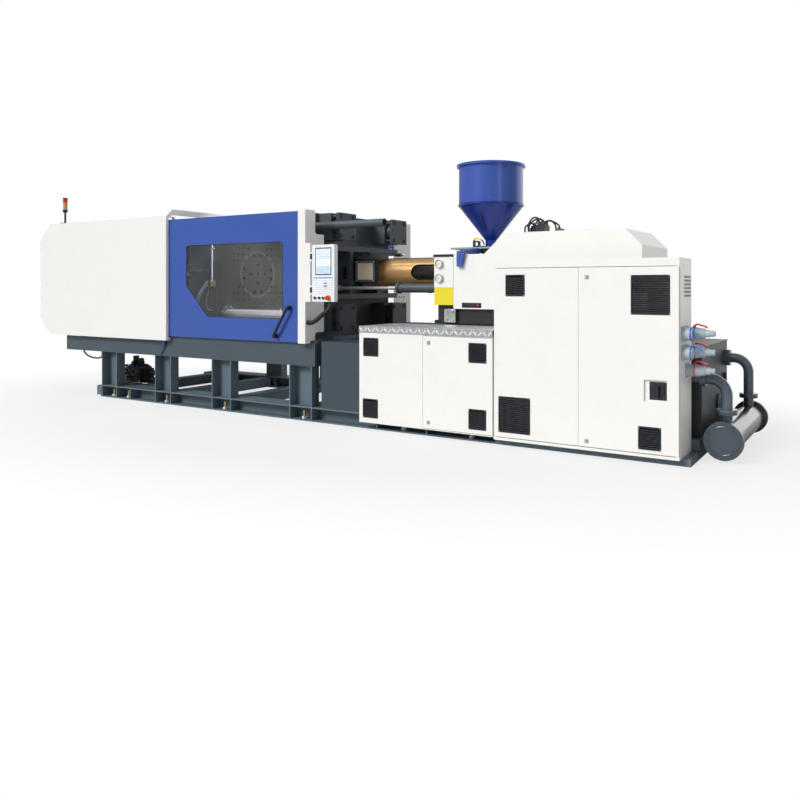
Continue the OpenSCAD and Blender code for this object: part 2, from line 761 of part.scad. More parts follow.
// Door rail, its end bracket and the brackets that carry the cover
module guard_rail(x1) {
  z1 = door_top_z - 14;
  y = [-rail_y0 - 50, -rail_y0];
  slab([cover_x0 + sheet, x1 - sheet], [y[0] + 8, y[1]], [z1 - 40, z1]);
  for (x = [cover_x0 + 260, -2500, cover_x1 - 60]) {
    slab([x, x + 50], [-cover_y + sheet, y[1] + 6], [top_z - sheet - 6, top_z - sheet]);
    slab([x, x + 50], [y[1], y[1] + 6], [z1 - 40, top_z - sheet]);
  }
  for (x = [cover_x0 + 460, -2500, cover_x1 - 60])
    slab([x, x + 50], [-cover_y + cover_fold, -base_y], [cover_z0, cover_z0 + 30]);
}

// Uprights that carry the clamp end of the door rails
module guard_upright(x) {
  slab([x, x + 40], [-rail_y0, -rail_y0 + 40], [beam_top, door_top_z - 14]);
}
module guard_frame() {
  b = bridge_rise;
  half = cover_y - 3;
  color(white) {
    guard_post(post_x, 256);
    mirror([0, 1, 0]) guard_post(far_post_x, 322);
    guard_rail(post_x);
    mirror([0, 1, 0]) guard_rail(far_post_x);
    both_sides() guard_upright(beam_x0 + 30);
    along_x([[-half, top_z], [-half + b + 5, top_z + b], [half - b - 5, top_z + b],
      [half, top_z], [half - 54, top_z], [half - 100, top_z + 17],
      [-half + 100, top_z + 17], [-half + 54, top_z]], [cover_x1 - 36, cover_x1]);
  }
}

// Window outline with its cut corner, grown by g
function window_outline(g) = [
  [window_r + g, window_b - g], [window_r + g, window_t + g],
  each arc([window_l + 32, window_t - 32], 32 + g, 90, 180),
  [window_l - g, window_b + window_cut - g * 0.41],
  [window_l + window_cut - g * 0.41, window_b - g]];

// A sliding door: sheet with folded edges, window opening and two hangers
module sliding_door(x1) {
  z = [door_z0, door_top_z];
  y = [-door_y, -door_y + door_t];
  color(blue) difference() {
    union() {
      slab([door_x0, x1], y, z);
      for (x = [door_x0 + 100, x1 - 260])
        slab([x, x + 160], [y[1] - 8, -rail_y0 - 10], [door_top_z - 14 + seat_gap, door_top_z - 2]);
    }
    slab([door_x0 + sheet, x1 - sheet], [y[0] + sheet, y[1] + eps], [z[0] + sheet, z[1] - 14]);
    along_y(window_outline(0), [y[0] - eps, y[1] + eps]);
  }
}
module front_door() {
  sliding_door(door_x1);
}
module rear_door() {
  mirror([0, 1, 0]) sliding_door(far_door_x1);
}

// Clear panes on the inner face of the doors
module pane() {
  y0 = -door_y + sheet;
  color([0.6, 0.7, 0.75, 0.4]) along_y(window_outline(pane_lap), [y0, y0 + pane_t]);
}
module front_window() {
  pane();
}
module rear_window() {
  mirror([0, 1, 0]) pane();
}

// Slanting tubular handle on two round stand-offs
module door_handle() {
  top = [256, 1022];
  low = [90, 762];
  y = -door_y - 44;
  run = low - top;
  color(black) {
    for (p = [top, low]) {
      bar_y(30, p[0], [y, -door_y], p[1]);
      translate([p[0], y, p[1]]) sphere(d = 30);
    }
    translate([top[0], y, top[1]]) rotate([0, 90 - atan2(run[1], run[0]), 0])
      cylinder(d = 24, h = norm(run));
  }
}

// Signal tower: foot, pole, base, three lenses and a cap
module stack_light() {
  x = -3210;
  y = -870;
  z = top_z + seat_gap;
  d = 52;
  translate([x, y, z]) {
    color(black) slab([-40, 40], [-40, 30], [0, 8]);
    color(steel) bar_z(22, 0, 0, [7, 131]);
    color(black) bar_z(d, 0, 0, [130, 158]);
    color("green") bar_z(d - 4, 0, 0, [157, 200]);
    color("orange") bar_z(d - 4, 0, 0, [199, 242]);
    color("red") bar_z(d - 4, 0, 0, [241, 284]);
    color(black) bar_z(d, 0, 0, [283, 296]);
  }
}

// Cable pipe along the top of the fixed platen, clamped to its side
module overhead_pipe() {
  y = -max(platen_w / 2, half_bar + 125) - 45;
  z = axis_z + platen_h / 2 - 130;
  color(iron) {
    difference() {
      bar_x(70, [310, 1130], y, z);
      bar_x(60, [340, 1130 + eps], y, z);
    }
    difference() {
      slab([230, 290], [y - 20, -platen_w / 2], [z - 20, z + 20]);
    }
    slab([270, 311], [y - 20, y + 20], [z - 20, z + 20]);
  }
}

// Control panel

hinge_x = post_x + 70;
hmi_y = cab_y;
hmi_x0 = hinge_x + 11;
knuckles = [hmi_z0 + 77, hmi_z0 + hmi_h - 127];
module hmi_bracket() {
  color(white) {
    slab([post_x, hinge_x - 11], [-hmi_y, -hmi_y + 20], [hmi_z0 - 3, hmi_z0 + hmi_h + 20]);
    slab([post_x, post_x + 3], [-hmi_y, -hmi_y + 80], [hmi_z0 - 3, hmi_z0 + hmi_h + 20]);
  }
  color(black) for (z = knuckles) {
    bar_z(14, hinge_x, -hmi_y + 8, [z - 14, z + 64]);
    for (s = [-16, 41]) {
      bar_z(20, hinge_x, -hmi_y + 8, [z + s, z + s + 24]);
      slab([hinge_x - 12, hinge_x], [-hmi_y, -hmi_y + 16], [z + s, z + s + 24]);
    }
  }
}

// Black flexible conduit from under the panel to the post
module hmi_conduit() {
  a = [hmi_x0 + 185, hmi_z0 - 22];
  b = [post_x + 34, hmi_z0 - 190];
  y = -hmi_y + 34;
  run = b - a;
  d = 40;
  color(black) {
    bar_z(d, a[0], y, [a[1], hmi_z0 - seat_gap]);
    translate([a[0], y, a[1]]) sphere(d = d + 3);
    translate([a[0], y, a[1]]) rotate([0, 90 - atan2(run[1], run[0]), 0])
      cylinder(d = d, h = norm(run));
    translate([b[0], y, b[1]]) sphere(d = d + 3);
    bar_x(d, [post_x, b[0]], y, b[1]);
  }
}

// Round control positions along the panel's lower edge
key_z = hmi_z0 + 34;
key_x = [hmi_x0 + 36, hmi_x0 + 86, hmi_x0 + 132, hmi_x0 + 188];
module hmi_housing() {
  x = [hmi_x0, hmi_x0 + hmi_w];
  z = [hmi_z0, hmi_z0 + hmi_h];
  y = [-hmi_y, -hmi_y + hmi_t];
  color(white) difference() {
    union() {
      slab(x, [y[0], y[1] - 16], z);
      along_y([[x[0] + 10, z[0] + 14], [x[1] - 10, z[0] + 14],
        [x[1] - 10, z[1] - 14], [x[0] + 10, z[1] - 14]], [y[1] - 17, y[1]]);
      for (k = knuckles) {
        bar_z(20, hinge_x, -hmi_y + 8, [k + 8.5, k + 40.5]);
        slab([hinge_x, x[0] + eps], [-hmi_y, -hmi_y + 16], [k + 8.5, k + 40.5]);
      }
    }
    slab([x[0] + 36, x[1] - 32], [y[0] - eps, y[0] + 4], [z[1] - 268, z[1] - 26]);
    for (k = knuckles) bar_z(14 + 2 * run_fit, hinge_x, -hmi_y + 8, [k, k + 50]);
    bar_y(22 + 2 * run_fit, key_x[3], [y[0] - eps, y[0] + 30], key_z);
  }
  color(black) for (i = [0, 1, 2]) {
    bar_y(24, key_x[i], [y[0] - 12, y[0] + eps], key_z);
  }
}

// Mushroom stop button
module estop_button() {
  y = -hmi_y;
  color("red") {
    bar_y(22, key_x[3], [y - 14, y + 20], key_z);
    bar_y(40, key_x[3], [y - 26, y - 12], key_z);
  }
}

// Injection unit

// Polished pull rods of the carriage and the purge guard's hinge rod, fixed in the platen
module platen_rods() {
  color(steel) {
    both_sides() {
      bar_x(pull_rod_d, [fixed_t - 55, 1460], pull_y, pull_z);
      bar_x(58, [fixed_t, fixed_t + 36], pull_y, pull_z);
      bar_x(70 - 2 * seat_gap, [1420, 1460], pull_y, pull_z);
    }
    bar_x(18 - 2 * run_fit, [fixed_t + 61, guard_x1 + 10], guard_y + 20, guard_z1);
  }
}
module carriage_cylinders() {
  x = [1022, plate_x0];
  color(iron) both_sides() difference() {
    union() {
      bar_x(84, x, pull_y, pull_z);
      bar_x(104, [x[0], x[0] + 26], pull_y, pull_z);
    }
    bar_x(pull_rod_d + 2 * run_fit, [x[0] - eps, x[0] + 41], pull_y, pull_z);
    bar_x(70, [x[0] + 40, x[1] - 20], pull_y, pull_z);
  }
}

// Carriage: sled, front plate, feed housing, injection cylinders and valve block
module carriage() {
  half = 335;
  color(black) difference() {
    union() {
      slab([1580, 3000], [-half, half], [sled_z0, sled_z1]);
      slab([plate_x0, plate_x1], [-half, half], [sled_z0 + 20, 1480]);
      slab([plate_x1 - eps, house_x1], [-150, 150], [sled_z1 - eps, slide_z - 66]);
      slab([throat_x - throat_d / 2 - 6, throat_x + 110], [-100, 100], [slide_z - 67, slide_z]);
    }
    bar_x(barrel_d + 2 * seat_gap, [plate_x0 - eps, house_x1 + eps], 0, axis_z);
    bar_z(throat_d, throat_x, 0, [axis_z, slide_z + eps]);
  }
  color(iron) both_sides() difference() {
    union() {
      bar_x(150, [house_x1 - 30, inj_cyl_x1], inj_cyl_y, axis_z);
      slab([house_x1 - 60, house_x1], [140, inj_cyl_y + 80], [axis_z - 90, axis_z + 90]);
      slab([house_x1 + 120, house_x1 + 180], [inj_cyl_y - 60, inj_cyl_y + 60], [sled_z1, axis_z]);
    }
    bar_x(110, [house_x1 + 20, inj_cyl_x1 - 40], inj_cyl_y, axis_z);
    bar_x(60 + 2 * run_fit, [inj_cyl_x1 - 41, inj_cyl_x1 + eps], inj_cyl_y, axis_z);
  }
  color(iron) {
    slab([2170, 2400], [-230, 230], [axis_z + 65, axis_z + 120]);
    slab([2250, 2430], [-90, 90], [axis_z + 119, hood_top + 24]);
    slab([2330, 2410], [-80, 40], [hood_top + 23, hood_top + 80]);
    slab([2270, 2310], [-60, 60], [hood_top + 23, hood_top + 62]);
    bar_y(56, 2370, [-60, 30], hood_top + 84);
  }
}

// Barrel with end cap, nozzle and heater bands
module barrel() {
  z = axis_z;
  r = barrel_d / 2;
  body = [[0, 0], [0, 9], [40, 14], [40, 28], [110, 32], [110, 62], [300 - nozzle_x, 62],
    [300 - nozzle_x, r], [house_x1 - 10 - nozzle_x, r], [house_x1 - 10 - nozzle_x, 0]];
  color(steel) difference() {
    union() {
      translate([nozzle_x, 0, z]) rotate([0, 90, 0]) rotate_extrude($fn = 64)
        polygon([for (p = body) [p[1], p[0]]]);
      for (x = [330, 560, 790, 1020, 1250]) bar_x(barrel_d + 16, [x, x + 170], 0, z);
    }
    bar_x(8, [nozzle_x - eps, 200], 0, z);
    bar_x(screw_d + 2 * run_fit, [300, house_x1 + eps], 0, z);
    translate([198, 0, z]) rotate([0, 90, 0]) cylinder(d1 = 8, d2 = screw_d + 2 * run_fit, h = 103);
    bar_z(throat_d, throat_x, 0, [z, z + barrel_d]);
  }
}
module barrel_cover() {
  x = [jacket_x0, plate_x0];
  slot_x = x[0] + jacket_slot_at;
  color(gold) difference() {
    union() {
      bar_x(jacket_d, x, 0, axis_z);
      bar_x(jacket_d + 3, [x[0] + 485, x[0] + 497], 0, axis_z);
      bar_x(jacket_d + 3, [x[0], x[0] + 12], 0, axis_z);
    }
    bar_x(jacket_d - 4, [x[0] - eps, x[1] + eps], 0, axis_z);
    slab([slot_x, x[1] + eps], [-jacket_d, 0], [axis_z - jacket_slot_w / 2, axis_z + jacket_slot_w / 2]);
    bar_y(jacket_slot_w, slot_x, [-jacket_d, 0], axis_z);
  }
}

// Reciprocating screw with a helical-flight envelope, tip and splined shank
module screw() {
  z = axis_z;
  d = screw_d;
  color(steel) {
    translate([305, 0, z]) rotate([0, -90, 0]) cylinder(d1 = d - 6, d2 = 12, h = 70);
    bar_x(d - 18, [304, house_x1], 0, z);
    for (i = [0:22]) bar_x(d, [320 + i * 72, 328 + i * 72], 0, z);
    bar_x(d - 2, [house_x1 - 120, thrust_x + 20], 0, z);
    bar_x(d + 30, [thrust_x - 60, thrust_x - 20], 0, z);
  }
}

// Thrust plate on the piston rods, with the screw drive motor
module thrust_plate() {
  x = [thrust_x, thrust_x + thrust_t];
  color(iron) difference() {
    union() {
      slab(x, [-inj_cyl_y - 70, inj_cyl_y + 70], [axis_z - 110, axis_z + 110]);
      bar_x(230, [x[1] - eps, x[1] + 110], 0, axis_z);
      bar_x(180, [x[1] + 109, x[1] + 260], 0, axis_z);
      for (a = [0:72:359])
        translate([x[1] + 190, 0, axis_z]) rotate([a, 0, 0]) bar_z(78, 0, 0, [40, 120]);
    }
    bar_x(screw_d - 2 + 2 * run_fit, [x[0] - eps, x[0] + 30], 0, axis_z);
  }
  color(steel) both_sides() {
    bar_x(60, [house_x1 + 60, x[0] + eps], inj_cyl_y, axis_z);
    bar_x(110 - 2 * seat_gap, [house_x1 + 40, house_x1 + 90], inj_cyl_y, axis_z);
  }
}

// Sheet hood over the injection unit: outline in X and Z, moved in by t
function hood_outline(t, z0) = [
  [plate_x1 + t, z0], [plate_x1 + t, 1496 - t], [1985 - t * 0.4, 1496 - t],
  [2172 + t * 0.4, hood_top - t], [hood_x1 - 132 - t * 0.4, hood_top - t],
  [hood_x1 - t, hood_top - 132 - t * 0.4], [hood_x1 - t, z0]];
module hood() {
  z0 = sled_z1 + seat_gap;
  color(white) difference() {
    along_y(hood_outline(0, z0), [-hood_y, hood_y]);
    along_y(hood_outline(sheet, z0 - eps), [-hood_y + sheet, hood_y - sheet]);
    slab([plate_x1 - eps, plate_x1 + 20], [-hood_y + 40, hood_y - 40], [z0 - eps, 1496 - 20]);
    slab([plate_x1 - eps, throat_x + 112], [-152, 152], [1400, 1500]);
    slab([2245, 2435], [-95, 95], [hood_top - 20, hood_top + eps]);
    slab([1765, 1955], [-hood_y - eps, -hood_y + 10], [z0 + 10, z0 + 54]);
  }
}

// Gauge panel beside the front plate, with two round gauges and the lower sheet
module gauge_panel() {
  y = -hood_y - 2;
  x = [1484, plate_x1 - 3];
  color(white) {
    slab(x, [y, y + 20], [1208, 1478]);
    slab([x[0], x[0] + 14], [y, -334], [1208, 1478]);
    slab([x[0] + 8, x[1] - 8], [y + 19, -335], [1300, 1400]);
  }
  color("gold") slab(x, [y + 2, y + 6], [1054, 1209]);
  color("gold") slab([x[0] + 30, x[1] - 20], [y + 5, -335], [1080, 1180]);
  color(black) slab([x[0] - 8, x[1]], [y - 4, -335], [1477, 1500]);
  for (z = [1417, 1290]) {
    color(steel) difference() {
      bar_y(72, x[0] + 58, [y - 18, y + eps], z);
      bar_y(64, x[0] + 58, [y - 19, y - 14], z);
    }
  }
}

// Hopper on its slide plate: rim, cylinder, cone, neck and base
module hopper() {
  r = hopper_r;
  t = 3;
  zb = hopper_z0 + 10;
  zn = zb + 50;
  zc = zn + cone_h;
  zt = zc + hopper_h;
  outer = [[throat_d / 2, zb], [neck_r, zb], [neck_r, zn], [r, zc], [r + 10, zc + 4], [r, zc + 8],
    [r, zt - 18], each arc([r + 11, zt - 11], 11, 180, 0, 6), [r + 11, zt - 18], [r - t, zt - 18],
    [r - t, zc], [throat_d / 2, zn]];
  color(blue) translate([throat_x, 0, 0]) {
    rotate_extrude($fn = 64) polygon([for (p = [
      [throat_d / 2, zb - 1], [neck_r, zb - 1], [neck_r, zn], [r, zc], [r + 10, zc + 3],
      [r + 10, zc + 8], [r, zc + 11], [r, zt - 20], [r + 20, zt - 20], [r + 20, zt],
      [r - t, zt], [r - t, zc + 1], [throat_d / 2, zn + 2]]) p]);
    difference() {
      slab([-105, 105], [-105, 105], [zb - 10, zb]);
      bar_z(throat_d, 0, 0, [zb - 11, zb + 1]);
      slab([-160, neck_r + 12], [-44, 44], [zb - 8, zb - 2]);
    }
  }
}

// Shut-off gate in the hopper's base with its loop handle
module hopper_gate() {
  z = hopper_z0;
  g = seat_gap;
  color(steel) translate([throat_x, 0, 0]) difference() {
    slab([-150, neck_r - 2], [-44 + g, 44 - g], [z + 2 + g, z + 8 - g]);
    bar_z(throat_d, 0, 0, [z - 1, z + 12]);
  }
  color("yellow") translate([throat_x - 150, 0, z + 5]) difference() {
    slab([-8, 14], [-55, 55], [-4, 58]);
    slab([-9, 15], [-40, 40], [12, 44]);
  }
}

// Slide plate under the hopper with its clearing slot and the open chute beside it
// A chute outline in Y and Z between x0 and x1, whose spout tapers by t on one side
module chute(points, x0, x1, t) {
  intersection() {
    along_x(points, [x0, x1]);
    along_y([[x0, 1300], [x1 - t, 1300], [x1 - t, 1388], [x1, 1520], [x1, 1600], [x0, 1600]], [-500, 200]);
  }
}
module hopper_base() {
  slot = [1735, 1806];
  y1 = -hood_y - 4;
  z1 = 1388;
  color([0.55, 0.62, 0.58]) difference() {
    slab([1500, throat_x + 150], [-118, 118], [slide_z, slide_z + slide_t]);
    bar_z(throat_d, throat_x, 0, [slide_z - 1, slide_z + slide_t + 1]);
    slab(slot, [-60, 60], [slide_z - 1, slide_z + slide_t + 1]);
  }
  color(blue) difference() {
    chute([[66, slide_z + eps], [-176, slide_z + eps], [y1 - 30, slide_z - 34], [y1 - 30, z1],
      [y1, z1], [y1, 1506], [-160, 1506], [66, 1540]], slot[0] - 4, slot[1] + 4, 34);
    chute([[62, slide_z + 2 * eps], [-170, slide_z - 4], [y1 - 26, slide_z - 38], [y1 - 26, z1 - eps],
      [y1 - 4, z1 - eps], [y1 - 4, 1510], [-160, 1510], [62, 1544]], slot[0], slot[1], 34);
    slab(slot, [-60, 60], [slide_z - 12, slide_z + 2 * eps]);
  }
}

// Purge guard: sloped box over the nozzle, open towards the platen and below
module purge_guard() {
  z0 = axis_z - 105;
  zs = axis_z + 128;
  t = sheet;
  roof = [[guard_y + 8, guard_z1 + 10], [-guard_y + 70, guard_z1 + 10], [-guard_y, zs], [-guard_y, z0],
    [-guard_y + t, z0], [-guard_y + t, zs], [-guard_y + 72, guard_z1 + 7], [guard_y + 8, guard_z1 + 7]];
  face = [[guard_y - 5, guard_z1 + 9], [-guard_y + 70, guard_z1 + 9], [-guard_y, zs],
    [-guard_y, zs - 18], [0, zs - 18], [0, guard_z1 - 5], [guard_y - 5, guard_z1 - 5]];
  color(iron) difference() {
    union() {
      along_x(roof, [guard_x0, guard_x1]);
      along_x(face, [guard_x1 - 28, guard_x1 - 22]);
      bar_x(34, [guard_x0 + 30, guard_x0 + 90], guard_y + 20, guard_z1);
      bar_x(34, [guard_x1 - 90, guard_x1 - 30], guard_y + 20, guard_z1);
    }
    bar_x(jacket_d + 16, [guard_x0 - eps, guard_x1 + eps], 0, axis_z);
    slab([guard_x0 + 20, guard_x1 - 48], [-guard_y - eps, -guard_y + 9], [z0 + 22, zs - 16]);
    bar_x(18 + 2 * run_fit, [guard_x0 - eps, guard_x1 + eps], guard_y + 20, guard_z1);
  }
  color([0.5, 0.5, 0.5]) slab([guard_x0 + 12, guard_x1 - 40], [-guard_y + t, -guard_y + t + 3],
    [z0 + 12, zs - 8]);
  color(black) {
    for (x = [guard_x0 + 40, guard_x0 + 140])
      bar_z(12, x, -guard_y + 45, [guard_z1 - 20, guard_z1 + 10]);
    bar_x(14, [guard_x0 + 28, guard_x0 + 152], -guard_y + 45, guard_z1 + 12);
  }
}

// Cabinets

// A louvred filter grille filling a rectangle of a panel, outer face at y
module grille(x, z, y, depth) {
  pitch = 15;
  rows = floor((z[1] - z[0] - 12) / pitch);
  difference() {
    slab(x, [y - 2, y + depth], z);
    slab([x[0] + 8, x[1] - 8], [y - 3, y + depth + eps], [z[0] + 8, z[1] - 8]);
  }
  for (i = [0:rows - 1])
    slab([x[0] + 7, x[1] - 7], [y, y + depth], [z[0] + 10 + i * pitch, z[0] + 18 + i * pitch]);
}

// A cabinet leaf: tray with folded edges, louvred openings and round locks
module leaf(x, z, grilles) {
  y = [-cab_y, -panel_y];
  difference() {
    slab(x, y, z);
    slab([x[0] + sheet, x[1] - sheet], [y[0] + sheet, y[1] + eps], [z[0] + sheet, z[1] - sheet]);
    for (g = grilles) slab(g[0], [y[0] - eps, y[1]], g[1]);
  }
  for (g = grilles) grille(g[0], g[1], y[0], 12);
}
module lock(x, z) {
  bar_y(28, x, [-cab_y - 4, -cab_y + 20], z);
}

// Vertical pins at a leaf's hinge edge, two per leaf
module hinge_pins(x, z) {
  for (h = [z[0] + 80, z[1] - 130]) bar_z(8, x, -hinge_y, [h - 12, h + 62]);
}
module electrical_cabinet() {
  x = [cab_x0, cab_x1];
  z = [cab_z0, cab_z1];
  color(white) {
    difference() {
      slab(x, [-cab_y, -back_y], z);
      slab([x[0] + sheet, x[1] - sheet], [-panel_y + 6, -back_y - sheet], [z[0] + sheet, z[1] - sheet]);
      slab([x[0] - eps, x[1] + eps], [-cab_y - eps, -panel_y + 4], [z[0] + 20, door_top]);
      slab([x[0] + 20, x[1] - 20], [-cab_y - eps, -panel_y + 7], [z[0] + 40, door_top - 20]);
      slab([x[0] + 400, x[0] + 900], [-back_y - 10, -back_y + eps], [400, 760]);
    }
    slab([cab_split - 14, cab_split + 14], [-panel_y + 4, -panel_y + 30], [z[0] + 10, z[1] - 10]);
    for (h = [z[0] + 20, door_top - 4]) for (px = [x[0] + 12, x[1] - 12])
      slab([px - 12, px + 12], [-cab_y + 1, -panel_y + 3], [h, h + 4]);
  }
  color(steel) for (px = [x[0] + 12, x[1] - 12])
    bar_z(8, px, -hinge_y, [z[0] + 20, door_top]);
  color([0.7, 0.72, 0.74]) {
    slab([x[0] + 60, x[1] - 60], [-back_y - 25, -back_y - 21], [150, 1300]);
    for (px = [x[0] + 80, x[1] - 80], pz = [170, 1280]) bar_y(16, px, [-back_y - 22, -back_y - 1], pz);
  }
  color(black) {
    for (i = [0:5]) slab([x[0] + 120 + i * 95, x[0] + 190 + i * 95], [-back_y - 110, -back_y - 24],
      [1050, 1200]);
    slab([x[0] + 760, x[0] + 1140], [-back_y - 220, -back_y - 24], [560, 1180]);
    slab([x[0] + 120, x[0] + 640], [-back_y - 90, -back_y - 24], [840, 930]);
  }
  color(black) for (i = [0:5])
    slab([x[1] - 1, x[1] + 3], [-cab_y + 128, -cab_y + 320], [1146 + i * 26, 1160 + i * 26]);
}

left_leaf = [cab_x0 + 4, cab_split - 1.5];
right_leaf = [cab_split + 1.5, cab_x1 - 4];
leaf_z = [cab_z0 + 26, door_top - 4];

// Leaves turn on the full-height pins at the outer corners of the cabinet
module left_cabinet_door() {
  color(white) difference() {
    union() {
      leaf(left_leaf, leaf_z, [[[2462, 2619], [1144, 1303]], [[2402, 2663], [113, 383]]]);
      slab([left_leaf[0], left_leaf[0] + 20], [-cab_y, -panel_y], leaf_z);
    }
    bar_z(8 + 2 * run_fit, cab_x0 + 12, -hinge_y, [cab_z0, cab_z1]);
  }
}
module right_cabinet_door() {
  x = [3512, 3670];
  z = [431, 580];
  color(white) difference() {
    union() {
      leaf(right_leaf, leaf_z, [[[3424, 3690], [1024, 1294]], [[3475, 3630], [101, 257]]]);
      slab([right_leaf[1] - 20, right_leaf[1]], [-cab_y, -panel_y], leaf_z);
      slab([x[0] - 6, x[1] + 6], [-cab_y, -panel_y + 0], [z[0] - 6, z[1] + 6]);
      lock(3105, 1283);
      lock(3103, 116);
    }
    bar_z(8 + 2 * run_fit, cab_x1 - 12, -hinge_y, [cab_z0, cab_z1]);
    difference() {
      slab(x, [-cab_y - eps, -cab_y + 19], z);
      slab([3548, 3668], [-cab_y + 14, -cab_y + 20], [444, 567]);
    }
    bar_y(20 + 2 * run_fit, 3607, [-cab_y, -panel_y + eps], 505);
  }
}

// Main switch knob on its square plate in the recess of the right door
module isolator_knob() {
  y = -cab_y + 14 - seat_gap;
  color(black) {
    bar_y(20, 3607, [y - 2, -panel_y + 10], 505);
    bar_y(84, 3607, [y - 8, y - 1], 505);
    slab([3597, 3617], [y - 30, y - 7], [470, 540]);
  }
}

// Round power sockets with their plugs and lids on the cabinet's end face
module power_socket(y, z, plug) {
  x = cab_x1;
  color([0.68, 0.73, 0.77]) {
    bar_x(100, [x, x + 10], y, z);
    bar_x(86, [x + 9, x + 62], y, z);
    if (plug) {
      bar_x(74, [x + 61, x + 120], y, z);
      bar_x(50, [x + 119, x + 158], y, z);
      bar_x(40, [x + 157, x + 190], y, z);
    }
  }
  color(plug ? "red" : "blue") {
    bar_x(92, [x + 50, x + 58], y, z);
    slab([x + 30, x + 52], [y - 8, y + 8], [z + 40, z + 62]);
    slab([x + 44, x + 130], [y - 6, y + 6], [z + 58, z + 66]);
  }
}
module power_sockets() {
  power_socket(-830, 894, false);
  power_socket(-830, 765, false);
  for (z = [894, 765, 638]) power_socket(-712, z, true);
}

// Low cabinet: shallow frame with the fixed left panel
module lower_cabinet() {
  x = [low_x0, cab_x0 - 8];
  z = [low_z0, deck_z + 1];
  y = [-cab_y, -base_y];
  color(white) {
    difference() {
      slab(x, y, z);
      slab([low_split, x[1] + eps], [y[0] - eps, -panel_y + 4], [z[0] + 6, z[1] - 4]);
      slab([low_split + 20, x[1] - 20], [y[0] - eps, y[1] + eps], [z[0] + 20, z[1] - 20]);
      slab([x[0] + 20, low_split - 20], [y[0] + sheet, y[1] + eps], [z[0] + 20, z[1] - 20]);
      for (g = [[[1120, 1275], [629, 782]], [[1115, 1271], [110, 268]]])
        slab(g[0], [y[0] - eps, y[0] + sheet + eps], g[1]);
    }
    grille([1120, 1275], [629, 782], -cab_y, 12);
    grille([1115, 1271], [110, 268], -cab_y, 12);
  }
  color(steel) bar_z(8, x[1] - 12, -hinge_y, [z[0] + 2, z[1] - 2]);
}
module lower_door() {
  x = [low_split + 3, cab_x0 - 12];
  z = [low_z0 + 10, deck_z - 7];
  color(white) difference() {
    union() {
      leaf(x, z, [[[2141, 2297], [625, 777]], [[2141, 2295], [108, 264]]]);
      slab([x[1] - 20, x[1]], [-cab_y, -panel_y], z);
      lock(1773, 764);
      lock(1770, 124);
    }
    bar_z(8 + 2 * run_fit, cab_x0 - 20, -hinge_y, [0, 900]);
  }
}

// Chequer tread plate with a front lip, on bearers over the deck
module tread_plate() {
  x = [low_x0 - 2, cab_x0 - 8];
  color(steel) {
    slab(x, [-cab_y - 4, -385], [tread_z - 5, tread_z]);
    slab(x, [-cab_y - 4, -cab_y - 1], [deck_z + 3, tread_z]);
    slab([x[0], x[0] + 4], [-cab_y - 4, -385], [deck_z + 3, tread_z]);
    for (y = [-880, -640, -400]) slab([x[0] + 4, x[1]], [y, y + 12], [deck_z + 1, tread_z - 4]);
  }
}

// Oil tank, cooler and pipes

module oil_tank() {
  x = [inj_x1 + 10, tank_x1];
  y = [-470, 490];
  color(iron) {
    slab(x, y, [rail_h, tank_z1 - 8]);
    slab([x[0] - 6, x[1] + 6], [y[0] - 6, y[1] + 6], [tank_z1 - 9, tank_z1]);
    bar_z(90, x[0] + 160, 250, [tank_z1 - 1, tank_z1 + 70]);
    bar_x(150, [x[1] - 1, x[1] + 14], 120, 300);
    slab([x[1] - 1, x[1] + 22], [330, 370], [250, 520]);
  }
}
near_pipe_y = -513;
far_pipe_y = 409;
module heat_exchanger() {
  y = [-652, 530];
  r = cooler_flange;
  color(iron) {
    difference() {
      union() {
        bar_y(cooler_d, cooler_x, [y[0] + 20, y[1] - 20], cooler_z);
        for (s = [[y[0], y[0] + 18], [y[0] + 22, y[0] + 42], [y[1] - 42, y[1] - 22], [y[1] - 18, y[1]]])
          bar_y(r, cooler_x, s, cooler_z);
        for (s = [y[0] + 17, y[1] - 23]) bar_y(r - 24, cooler_x, [s, s + 6], cooler_z);
        for (py = [near_pipe_y, far_pipe_y]) {
          bar_z(pipe_d, cooler_x, py, [cooler_z, 340]);
          bar_z(140, cooler_x, py, [322, 340]);
        }
      }
    }
    for (s = [-300, 180]) slab([rail_x1, cooler_x - 60], [s, s + 60], [40, rail_h - 30]);
    for (s = [y[0] + 9, y[1] - 9]) for (a = [0:30:359])
      translate([cooler_x, s, cooler_z]) rotate([0, a, 0])
        bar_y(14, r / 2 - 13, [s < 0 ? -16 : -9, s < 0 ? 9 : 16], 0);
  }
}

// A pipe from the left, round a bend and down to the cooler
module cooler_pipe(x0, y, z) {
  bend = 110;
  bar_x(pipe_d, [x0, cooler_x - bend], y, z);
  translate([cooler_x - bend, y, z - bend]) rotate([90, 0, 0])
    rotate_extrude(angle = 90, $fn = 64) translate([bend, 0]) circle(d = pipe_d);
  bar_z(pipe_d, cooler_x, y, [341, z - bend]);
  bar_z(140, cooler_x, y, [341, 358]);
}
module cooler_pipes() {
  color(iron) {
    cooler_pipe(inj_x1, near_pipe_y, 563);
    bar_x(116, [tank_x1 + 4, tank_x1 + 22], near_pipe_y, 563);
    bar_x(116, [tank_x1 + 24, tank_x1 + 42], near_pipe_y, 563);
    cooler_pipe(tank_x1, far_pipe_y, 636);
    bar_x(130, [tank_x1, tank_x1 + 20], far_pipe_y, 636);
    bar_x(130, [tank_x1 + 22, tank_x1 + 42], far_pipe_y, 636);
  }
}

